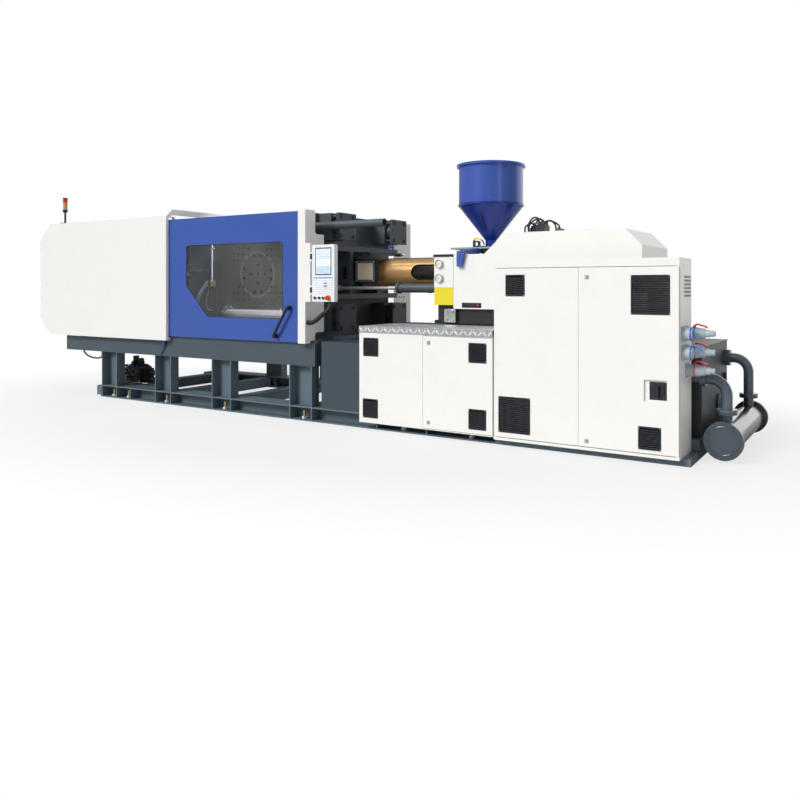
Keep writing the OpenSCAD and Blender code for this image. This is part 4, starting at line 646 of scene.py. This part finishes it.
# Lamp rings round the push buttons, the yellow plate under the stop button, and the button's cap
bm = bmesh.new()
for x in (0.588, 0.638, 0.684):
    spun(bm, [(0.0125, 0), (0.0165, 0), (0.0160, 0.003), (0.0130, 0.004), (0.0125, 0)],
         (x, PANEL_FRONT_Y, BUTTON_Z), "y", 32)
piece("button_rings", bm, zinc, "hmi")
bm = bmesh.new()
spun(bm, [(0.0115, 0), (0.0265, 0), (0.0260, 0.0022), (0.0115, 0.0022), (0.0115, 0)],
     (STOP_X, PANEL_FRONT_Y, BUTTON_Z), "y", 40)
piece("stop_plate", bm, moulded("yellow_plastic", srgb(240, 200, 30), 0.35), "hmi")
bm = bmesh.new()
spun(bm, [(0, 0), (0.020, 0), (0.0204, 0.004), (0.0190, 0.0090), (0.0150, 0.0118), (0.0080, 0.0130),
          (0, 0.0134)], (STOP_X, -0.9420, BUTTON_Z), "y", 40)
piece("stop_cap", bm, red_plastic, "estop")


# Swells a tube into ribs along its line of points
def corrugate(obj, points, depth, pitch):
    line = [Vector(p) for p in points]
    for vert in obj.data.vertices:
        best, along, near = math.inf, 0.0, line[0]
        walked = 0.0
        for a, b in zip(line, line[1:]):
            run = b - a
            t = max(0.0, min(1.0, (vert.co - a).dot(run) / run.length_squared))
            gap = (vert.co - a - run * t).length
            if gap < best:
                best, along, near = gap, walked + run.length * t, a + run * t
            walked += run.length
        swell = 1 + depth * math.cos(along / pitch * math.tau)
        vert.co = near + (vert.co - near) * swell


# Ribbed cable tube from the panel to the guard post
route = [(x, CONDUIT_Y, z) for x, z in ((0.737, 1.0827), (0.737, 1.062), (0.724, 1.030), (0.690, 1.000),
                                        (0.620, 0.952), (0.560, 0.912), (0.520, 0.894), (0.4712, 0.893))]
conduit = hose("ribbed_conduit", route, 0.0195, plastic, "base", sides=20, steps=22)
conduit.parent = None
corrugate(conduit, route, 0.09, 0.0125)
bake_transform(conduit)
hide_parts("hmi_conduit")

# On the moving platen: the white rod with its clips, and the brass water block with its thin hoses
bm = bmesh.new()
rod(bm, (-1.076, -0.612, 1.560), 0.009, 0.62, "z", 20)
piece("light_rod", bm, moulded("rod_white", (0.8, 0.8, 0.8), 0.4), "platen", bevel=0.002)
bm = bmesh.new()
block(bm, (-1.100, -0.622, 1.84), (-1.052, -0.589, 1.872))
block(bm, (-1.095, -0.620, 1.60), (-1.057, -0.589, 1.618))
piece("rod_clips", bm, zinc, "platen", bevel=0.002)
bm = bmesh.new()
block(bm, (-1.092, -0.655, 1.215), (-1.043, -0.589, 1.275))
for k in range(5):
    rod(bm, (-1.100, -0.640, 1.222 + 0.0115 * k), 0.0045, 0.022, "x", 12)
piece("water_block", bm, brass, "platen", bevel=0.003)
thin = moulded("clear_tube", (0.62, 0.65, 0.68), 0.25)
for k in range(6):
    z = 1.222 + 0.010 * k
    reach = 0.09 + 0.022 * k
    hose(f"thin_hose_{k}",
         [(-1.110, -0.640, z), (-1.135, -0.643, z - 0.012),
          (-1.150 - reach * 0.4, -0.648, z - 0.07 - 0.01 * k),
          (-1.150 - reach * 0.8, -0.640, 1.10 - 0.012 * k),
          (-1.19 - reach * 0.9, -0.615, 1.02 - 0.010 * k), (-1.22 - reach * 0.8, -0.585, 0.98)],
         0.0042, thin, "platen", sides=8, steps=6)
hose("amber_hose", [(-1.085, -0.648, 1.214), (-1.092, -0.652, 1.15), (-1.120, -0.650, 1.06),
                    (-1.100, -0.640, 0.985), (-1.060, -0.618, 0.968)],
     0.004, moulded("amber_tube", srgb(196, 130, 40), 0.3), "platen", sides=8, steps=6)
bm = bmesh.new()
rod(bm, (-1.285, -0.622, 1.374), 0.017, 0.25, "x", 20)
block(bm, (-1.175, -0.640, 1.352), (-1.130, -0.589, 1.396))
block(bm, (-1.420, -0.632, 1.360), (-1.400, -0.589, 1.388))
piece("limit_rail", bm, iron, "platen", bevel=0.002)

# Cap screws on the moving platen's side, and screws and a wiper round each tie bar
screws("platen_side_screws",
       [(x, -0.5925, z) for x in (-1.090, -1.190, -1.300, -1.400) for z in (0.84, 1.864)],
       "platen", 0.011, 0.008)
bars = [(y, AXIS_Z + z) for y in (-BAR_OFFSET, BAR_OFFSET) for z in (-BAR_OFFSET, BAR_OFFSET)]
spots = []
for y, z in bars:
    for k in range(8):
        a = math.tau * (k + 0.5) / 8
        spots.append((-1.0365, y + 0.088 * math.cos(a), z + 0.088 * math.sin(a)))
screws("sleeve_screws", spots, "platen", 0.009, 0.009, "x")
bm = bmesh.new()
for y, z in bars:
    spun(bm, [(0.0615, 0.0002), (0.099, 0.0002), (0.099, 0.005), (0.096, 0.007), (0.0635, 0.007),
              (0.0615, 0.005), (0.0615, 0.0002)], (MOVING_FACE_X, y, z), "x", 48)
piece("sleeve_wipers", bm, iron, "platen")

# Frame and corner bolts of the purge guard's pane
bm = bmesh.new()
for x0, x1, z0, z1 in ((0.476, 0.706, 1.262, 1.282), (0.476, 0.706, 1.446, 1.466),
                       (0.476, 0.496, 1.262, 1.466), (0.686, 0.706, 1.262, 1.466)):
    block(bm, (x0, -0.2105, z0), (x1, -0.2052, z1))
piece("purge_frame", bm, sprayed("guard_frame_grey", srgb(95, 105, 116), 0.36), "guard", bevel=0.001)
screws("purge_frame_bolts", [(x, -0.213, z) for x in (0.486, 0.696) for z in (1.272, 1.456)],
       "guard", 0.006, 0.005)

# Limit switch of the door with its cable, and a loose loop of hose under the beam
bm = bmesh.new()
block(bm, (-1.512, -0.886, 0.607), (-1.472, -0.861, 0.654))
block(bm, (-1.506, -0.882, 0.654), (-1.478, -0.865, 0.664))
piece("cover_switch", bm, moulded("switch_blue", srgb(44, 66, 132), 0.4), "base",
      bevel=0.003)
hose("switch_cable", [(-1.492, -0.873, 0.607), (-1.494, -0.874, 0.585), (-1.512, -0.868, 0.555),
                      (-1.545, -0.864, 0.520), (-1.566, -0.85, 0.49), (-1.56, -0.82, 0.478)],
     0.0045, rubber, "base", sides=10)
sag = ((-2.960, 0.496), (-2.955, 0.472), (-2.905, 0.440), (-2.820, 0.418),
       (-2.730, 0.412), (-2.660, 0.420), (-2.630, 0.445), (-2.628, 0.496))
hose("beam_hose", [(x, -0.800, z) for x, z in sag], 0.009, rubber, "base")

# Hydraulic manifold in the first bay: ported block, coils, stack, blue fittings, drain hoses
bm = bmesh.new()
block(bm, (-2.494, -0.612, 0.122), (-2.292, -0.598, 0.304))
for x, z in ((-2.460, 0.160), (-2.395, 0.150), (-2.335, 0.205), (-2.455, 0.262), (-2.350, 0.270)):
    rod(bm, (x, -0.616, z), 0.017, 0.010, "y", 24)
    rod(bm, (x, -0.623, z), 0.009, 0.006, "y", 6)
piece("manifold_block", bm, cast("manifold_block", srgb(92, 92, 82), 0.45), "base", bevel=0.004)
stack_y = -0.505
bm = bmesh.new()
for z in (0.174, 0.252):
    block(bm, (-2.286, -0.558, z - 0.037), (-2.226, -0.455, z + 0.037))
    rod(bm, (-2.170, stack_y, z), 0.0315, 0.104, "x", 28)
    rod(bm, (-2.108, stack_y, z), 0.0185, 0.018, "x", 20)
    block(bm, (-2.200, -0.526, z + 0.028), (-2.152, -0.484, z + 0.052))
piece("valve_coils", bm, plastic, "base", bevel=0.003)
bm = bmesh.new()
for x, z, radius, sides in ((-2.438, 0.356, 0.037, 28), (-2.438, 0.404, 0.030, 6),
                            (-2.348, 0.350, 0.036, 28), (-2.348, 0.386, 0.026, 6)):
    rod(bm, (x, stack_y, z), radius, 0.040, "z", sides)
block(bm, (-2.482, -0.568, 0.322), (-2.306, -0.440, 0.336))
rod(bm, (-2.394, -0.572, 0.352), 0.022, 0.034, "y", 24)
piece("valve_stack", bm, plastic, "base", bevel=0.003)
bm = bmesh.new()
ports = ((-2.478, 0.236), (-2.438, 0.330), (-2.414, 0.200), (-2.348, 0.322))
for x, z in ports:
    rod(bm, (x, -0.626, z), 0.014, 0.030, "y", 6)
    rod(bm, (x, -0.645, z), 0.010, 0.014, "y", 16)
piece("blue_fittings", bm, blue_plastic, "base", bevel=0.001)
for k, (x, z) in enumerate(ports):
    hose(f"drain_hose_{k}",
         [(x, -0.650, z), (x + 0.012, -0.664, z - 0.016), (x + 0.070, -0.660, z - 0.070),
          (x + 0.150 + 0.01 * k, -0.640, 0.150), (-2.10 + 0.02 * k, -0.630, 0.146),
          (-1.85 + 0.02 * k, -0.625, 0.139), (-1.64, -0.622, 0.137)],
         0.006, rubber if k % 2 else thin, "base", sides=8, steps=6)


# One power socket's flange and plug, or its cap, and the coloured ring between them
def plug(name, y, z, ring_paint, has_plug):
    foot = (CABINET_END_X, y, z)
    bm = bmesh.new()
    spun(bm, [(0, 0), (0.048, 0), (0.050, 0.004), (0.050, 0.010), (0.044, 0.014), (0.0425, 0.018),
              (0.0425, 0.047), (0.046, 0.050), (0.046, 0.052), (0, 0.052)], foot, "x", 48)
    for k in range(4):
        a = math.tau * (k + 0.5) / 4
        rod(bm, (3.7665, y + 0.049 * math.cos(a), z + 0.049 * math.sin(a)), 0.006, 0.006, "x", 12)
    if has_plug:
        spun(bm, [(0, 0.058), (0.0425, 0.058), (0.041, 0.075), (0.037, 0.092), (0.034, 0.118), (0.027, 0.126),
                  (0.025, 0.128), (0.025, 0.154), (0.0215, 0.158), (0.0205, 0.160), (0.0205, 0.184),
                  (0.018, 0.188), (0.0135, 0.189), (0.0135, 0.150), (0, 0.150)], foot, "x", 48)
        for k in range(10):
            a = math.tau * k / 10
            rod(bm, (CABINET_END_X + 0.141, y + 0.0245 * math.cos(a), z + 0.0245 * math.sin(a)),
                0.0024, 0.022, "x", 8)
    else:
        spun(bm, [(0, 0.058), (0.040, 0.058), (0.040, 0.064), (0.036, 0.068), (0, 0.069)], foot, "x", 48)
    piece(name + "_body", bm, grey_plastic, "base", bevel=0.0008, segments=1)
    bm = bmesh.new()
    spun(bm, [(0.036, 0.0515), (0.0475, 0.0515), (0.048, 0.0535), (0.048, 0.0570), (0.0475, 0.0590),
              (0.036, 0.0590), (0.036, 0.0515)], foot, "x", 48)
    piece(name + "_ring", bm, ring_paint, "base")


# A locking lever: a bent strip along points of (x, z)
def lever(name, points, y, half_width, paint):
    bm = bmesh.new()
    verts = [bm.verts.new((x, y - half_width, z)) for x, z in points]
    edges = [bm.edges.new(pair) for pair in zip(verts, verts[1:])]
    made = bmesh.ops.extrude_edge_only(bm, edges=edges)["geom"]
    bmesh.ops.translate(bm, vec=(0, half_width * 2, 0),
                        verts=[g for g in made if isinstance(g, bmesh.types.BMVert)])
    bmesh.ops.recalc_face_normals(bm, faces=bm.faces)
    bmesh.ops.solidify(bm, geom=bm.faces[:], thickness=0.010)
    piece(name, bm, paint, "base", bevel=0.002)


for y, z in SOCKETS:
    if y == RED_Y:
        plug(f"red_plug_{round(z * 1000)}", y, z, red_plastic, True)
        lever(f"red_lever_{round(z * 1000)}",
              [(3.792, z + 0.036), (3.796, z + 0.052), (3.818, z + 0.068), (3.842, z + 0.064),
               (3.875, z + 0.054), (3.890, z + 0.047), (3.888, z + 0.036)], y, 0.014, red_plastic)
    else:
        plug(f"blue_plug_{round(z * 1000)}", y, z, blue_plastic, False)
lever("blue_lever_high", [(3.800, 0.934), (3.812, 0.938), (3.826, 0.930), (3.829, 0.905), (3.826, 0.872),
                          (3.829, 0.852)], BLUE_Y, 0.016, blue_plastic)
lever("blue_lever_low", [(3.795, 0.800), (3.800, 0.815), (3.822, 0.826), (3.850, 0.815), (3.880, 0.798),
                         (3.888, 0.788)], BLUE_Y, 0.014, blue_plastic)
bm = bmesh.new()
for y, z in SOCKETS:
    block(bm, (CABINET_END_X + 0.0002, y - 0.052, z - 0.052), (CABINET_END_X + 0.0048, y + 0.052, z + 0.052))
plates = piece("socket_plates", bm, grey_plastic, "base", bevel=0.004)
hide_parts("power_sockets")

# Loop handle of the hopper's gate, yellow grip and black arm
grip = moulded("gate_grip", BLACK, 0.4)
grip.put(Base_Color=grip.mix(grip.xyz()[0] < 1.790, BLACK, srgb(236, 200, 36)))
hose("gate_loop", [(1.716, -0.045, 1.600), (1.706, -0.048, 1.620), (1.706, -0.048, 1.636),
                   (1.716, -0.050, 1.650), (1.740, -0.055, 1.653), (1.770, -0.062, 1.646),
                   (1.800, -0.072, 1.634), (1.820, -0.078, 1.612), (1.826, -0.080, 1.592)],
     0.0060, grip, "gate", sides=14, steps=6)

# Hopper: sight glass laid against the cone, painted near-black as painted shade of the hopper's inside, weld
# seam and clamp bolts
cone_slope = math.atan2(0.306, 0.240)
bm = bmesh.new()
glass = block(bm, (-0.0085, -0.003, -0.095), (0.0085, 0.003, 0.095))
bmesh.ops.rotate(bm, matrix=Matrix.Rotation(math.pi / 2 - cone_slope, 3, "X"), verts=glass)
bmesh.ops.translate(bm, vec=(0, -0.1785, 1.7960), verts=glass)
bmesh.ops.rotate(bm, matrix=Matrix.Rotation(math.radians(4), 3, "Z"), verts=glass)
bmesh.ops.translate(bm, vec=(HOPPER_X, 0, 0), verts=glass)
piece("sight_glass", bm, moulded("sight_glass_shade", (0.012, 0.012, 0.014), 0.12), "hopper",
      bevel=0.002)
bm = bmesh.new()
spun(bm, [(0.2895, -0.002), (0.2925, 0.0), (0.2925, 0.005), (0.2895, 0.007), (0.288, 0.0025),
          (0.2895, -0.002)], (HOPPER_X, 0, 1.958), "z", 72)
piece("hopper_weld", bm, hopper_blue, "hopper")
screws("hopper_bolts", [(HOPPER_X + x, y, 1.5865) for x in (-0.085, 0.085) for y in (-0.085, 0.085)],
       "hopper", 0.008, 0.008, "z")

# Round feet of the door handle
bm = bmesh.new()
for x, z in ((0.256, 1.022), (0.090, 0.762)):
    spun(bm, [(0.0152, 0), (0.0215, 0), (0.0225, 0.004), (0.0225, 0.020), (0.0205, 0.024),
              (0.0152, 0.024), (0.0152, 0)], (x, -0.8908, z), "y", 36)
piece("handle_feet", bm, plastic, "front_door")

# Valve block on the hood with its hoses, each from one place over a top to another place and its foot
bm = bmesh.new()
for x, y in ((2.350, -0.055), (2.392, -0.055), (2.350, 0.015), (2.392, 0.015)):
    rod(bm, (x, y, 1.757), 0.015, 0.020, "z", 6)
    rod(bm, (x, y, 1.772), 0.011, 0.016, "z", 16)
block(bm, (2.272, -0.050, 1.729), (2.308, 0.050, 1.745))
rod(bm, (2.290, -0.020, 1.752), 0.012, 0.022, "z", 6)
block(bm, (2.500, -0.060, 1.668), (2.552, 0.030, 1.712))
rod(bm, (2.526, -0.030, 1.716), 0.014, 0.020, "z", 6)
rod(bm, (2.212, -0.040, 1.673), 0.014, 0.011, "z", 6)
rod(bm, (2.470, 0.030, 1.673), 0.014, 0.011, "z", 6)
piece("valve_tops", bm, iron, "carriage", bevel=0.002)
in_opening, on_hood = 1.692, 1.670
loops = (((2.350, -0.055), (2.262, -0.078), 1.815, in_opening),
         ((2.392, -0.055), (2.272, -0.084), 1.800, in_opening),
         ((2.350, 0.015), (2.264, 0.060), 1.810, in_opening),
         ((2.392, 0.015), (2.470, 0.030), 1.790, on_hood),
         ((2.290, -0.020), (2.212, -0.040), 1.770, on_hood),
         ((2.392, -0.055), (2.526, -0.030), 1.782, in_opening))
for k, ((x, y), (end_x, end_y), top, foot) in enumerate(loops):
    hose(f"valve_hose_{k}",
         [(x, y, 1.775), (x - 0.003, y, top - 0.014), ((x * 2 + end_x) / 3, (y * 2 + end_y) / 3, top),
          ((x + end_x * 2) / 3, (y + end_y * 2) / 3, top - 0.012),
          (end_x, end_y, (top + in_opening) / 2), (end_x, end_y, foot)],
         0.0075, rubber, "carriage")

# Gauges: dial faces, ticks with a needle, rims
dial = moulded("dial_face", (0.86, 0.86, 0.85), 0.3)
for z in GAUGE_ZS:
    bm = bmesh.new()
    rod(bm, (GAUGE_X, -0.3925, z), 0.0318, 0.003, "y", 48)
    piece(f"dial_{round(z * 1000)}", bm, dial, "carriage")
    bm = bmesh.new()
    for k in range(11):
        tick = block(bm, (0.0235, -0.0004, -0.0009), (0.0295, 0.0004, 0.0009))
        bmesh.ops.rotate(bm, matrix=Matrix.Rotation(-math.radians(225 - 27 * k), 3, "Y"), verts=tick)
        bmesh.ops.translate(bm, vec=(GAUGE_X, -0.3944, z), verts=tick)
    needle = block(bm, (-0.007, -0.0005, -0.0011), (0.024, 0.0005, 0.0011))
    bmesh.ops.rotate(bm, matrix=Matrix.Rotation(math.radians(-210), 3, "Y"), verts=needle)
    bmesh.ops.translate(bm, vec=(GAUGE_X, -0.3946, z), verts=needle)
    rod(bm, (GAUGE_X, -0.3948, z), 0.0035, 0.002, "y", 16)
    piece(f"dial_marks_{round(z * 1000)}", bm, plastic, "carriage", smooth=False)
    bm = bmesh.new()
    spun(bm, [(0.0315, -0.001), (0.0362, -0.001), (0.0366, 0.004), (0.0340, 0.0065), (0.0315, 0.0045),
              (0.0315, -0.001)], (GAUGE_X, -0.3950, z), "y", 48)
    piece(f"dial_rim_{round(z * 1000)}", bm, zinc, "carriage")

# Cable along the barrel's jacket, and the hood's catch with its amber button
hose("barrel_cable", [(0.740, -0.045, 1.4875), (0.90, -0.045, 1.4865), (1.10, -0.045, 1.4865),
                      (1.30, -0.047, 1.4870), (1.50, -0.06, 1.49)],
     0.004, rubber, "carriage", sides=8)
bm = bmesh.new()
block(bm, (1.776, -0.3765, 1.040), (1.944, -0.364, 1.072))
piece("hood_catch", bm, plastic, "carriage", bevel=0.004)
bm = bmesh.new()
rod(bm, (1.925, -0.379, 1.056), 0.007, 0.006, "y", 20)
piece("catch_button", bm, moulded("amber_button", srgb(226, 96, 30), 0.3), "carriage",
      bevel=0.001)

# Guide shoe of the carriage with its four bolts
bm = bmesh.new()
block(bm, (1.585, -0.375, 0.902), (1.700, -0.336, 1.018))
for z in (0.925, 0.995):
    for x in (1.612, 1.672):
        rod(bm, (x, -0.379, z), 0.011, 0.012, "y", 6)
piece("guide_shoe", bm, ground("shoe_steel", (0.5, 0.52, 0.5), 0.35), "carriage",
      bevel=0.002)

# Black sleeve of the heater bands, seen through the slot of the barrel's jacket
bm = bmesh.new()
spun(bm, [(0.084, 0), (0.116, 0), (0.118, 0.004), (0.118, 0.436), (0.084, 0.440), (0.084, 0)],
     (1.060, 0, AXIS_Z), "x", 56)
piece("barrel_sleeve", bm, moulded("sleeve_black", (0.02, 0.02, 0.022), 0.25), "carriage")

# Small screws in the corners of the grilles
for name, boxes, body in (("left_grille_screws", vents_left, "left_door"),
                          ("right_grille_screws", vents_right, "right_door"),
                          ("low_panel_screws", vents_low, "base"),
                          ("low_door_screws", vents_door, "low_door")):
    screws(name, [(x, -0.9325, z) for x0, x1, z0, z1 in boxes for x in (x0 + 0.007, x1 - 0.007)
                  for z in (z0 + 0.008, z1 - 0.008)], body, 0.0028, 0.0018)

# Cooler: a raised rim on both end covers
bm = bmesh.new()
for y in (-0.6515, 0.5340):
    spun(bm, [(0.092, 0), (0.104, 0), (0.104, 0.0035), (0.101, 0.0050), (0.095, 0.0050), (0.092, 0.0035),
              (0.092, 0)], (3.980, y, 0.155), "y", 64)
piece("cooler_rims", bm, cooler, "base", bevel=0.0004, segments=1)

# Floor: grey where it takes shadows round the machine, fading to plain white for the camera
floor_bm = bmesh.new()
bmesh.ops.create_grid(floor_bm, x_segments=1, y_segments=1, size=60)
floor_mesh = bpy.data.meshes.new("floor")
floor_bm.to_mesh(floor_mesh)
floor_bm.free()
floor = bpy.data.objects.new("floor", floor_mesh)
floor.location = (0, 0, -0.0005)
scene.collection.objects.link(floor)
pale = Paint("pale_floor")
pale.put(Base_Color=(0.62, 0.62, 0.62), Roughness=0.9)
x, y, _ = pale.xyz()
reach = (((x - 0.3) / 6.0).fn("POWER", 2.0) + (y / 3.6).fn("POWER", 2.0)).fn("SQRT")
fade = ((reach - 0.60) / 0.36).fn("MAXIMUM", 0.0).fn("MINIMUM", 1.0)
to_camera = pale.node("ShaderNodeLightPath", output="Is Camera Ray")
glow = pale.node("ShaderNodeEmission", inputs={"Color": (1.0, 1.0, 1.0), "Strength": 1.0})
lit = Val(pale, pale.shader.outputs[0])
surface = pale.node("ShaderNodeMixShader", inputs=[(fade * 0.28 + 0.72) * to_camera, lit, glow])
pale.feed(pale.tree.nodes["Material Output"].inputs["Surface"], surface)
floor_mesh.materials.append(pale.mat)

# World: white for the camera and through clear panes, dimmer as a light
world = bpy.data.worlds.new("studio")
scene.world = world
world.use_nodes = True
sky = Graph(world.node_tree)
to_camera = sky.node("ShaderNodeLightPath", output="Is Camera Ray")
through = sky.node("ShaderNodeLightPath", output="Is Transmission Ray")
level = sky.node("ShaderNodeMapRange", inputs={"Value": to_camera.fn("MAXIMUM", through), "To Min": 0.34,
                                               "To Max": 1.0})
background = sky.tree.nodes["Background"]
sky.feed(background.inputs["Color"], (1.0, 1.0, 1.0))
sky.feed(background.inputs["Strength"], level)


def add_light(data, power, direction, place=(0, 0, 0)):
    data.energy = power
    obj = bpy.data.objects.new(data.name, data)
    obj.location = place
    obj.rotation_euler = Vector(direction).to_track_quat("-Z", "Y").to_euler()
    scene.collection.objects.link(obj)


def sun(name, power, spread, direction):
    data = bpy.data.lights.new(name, "SUN")
    data.angle = math.radians(spread)
    add_light(data, power, direction)


def lamp(name, place, target, size, power):
    data = bpy.data.lights.new(name, "AREA")
    data.shape = "RECTANGLE"
    data.size, data.size_y = size
    add_light(data, power, Vector(target) - Vector(place), place)


sun("sun", 2.55, 22, (0.34, 0.76, -0.56))
sun("rear_fill", 0.8, 60, (-0.30, -0.92, -0.22))
lamp("top_strip", (-0.5, -1.2, 5.0), (-0.5, 0.0, 1.4), (6.0, 0.6), 45)
lamp("end_strip", (6.5, -3.0, 2.4), (2.5, 0.0, 1.2), (0.6, 2.4), 9)
lamp("inside", (-0.5, -0.35, 1.935), (-0.6, 0.0, 1.2), (0.9, 0.25), 22)

# Camera fitted to the photograph: focal length and middle of the view in its pixels
PHOTO_PIXELS, FOCAL_PIXELS = 800, 743.55
VIEW_MIDDLE = (449.3, 286.7)
camera_data = bpy.data.cameras.new("camera")
camera_data.sensor_width = 36
camera_data.lens = FOCAL_PIXELS / PHOTO_PIXELS * camera_data.sensor_width
camera_data.shift_x = (PHOTO_PIXELS / 2 - VIEW_MIDDLE[0]) / PHOTO_PIXELS
camera_data.shift_y = (VIEW_MIDDLE[1] - PHOTO_PIXELS / 2) / PHOTO_PIXELS
camera = bpy.data.objects.new("camera", camera_data)
camera.location = (4.961, -5.984, 1.215)
camera.rotation_euler = (math.pi / 2, 0, math.radians(30.644))
scene.collection.objects.link(camera)
scene.camera = camera
scene.view_settings.view_transform = "Standard"
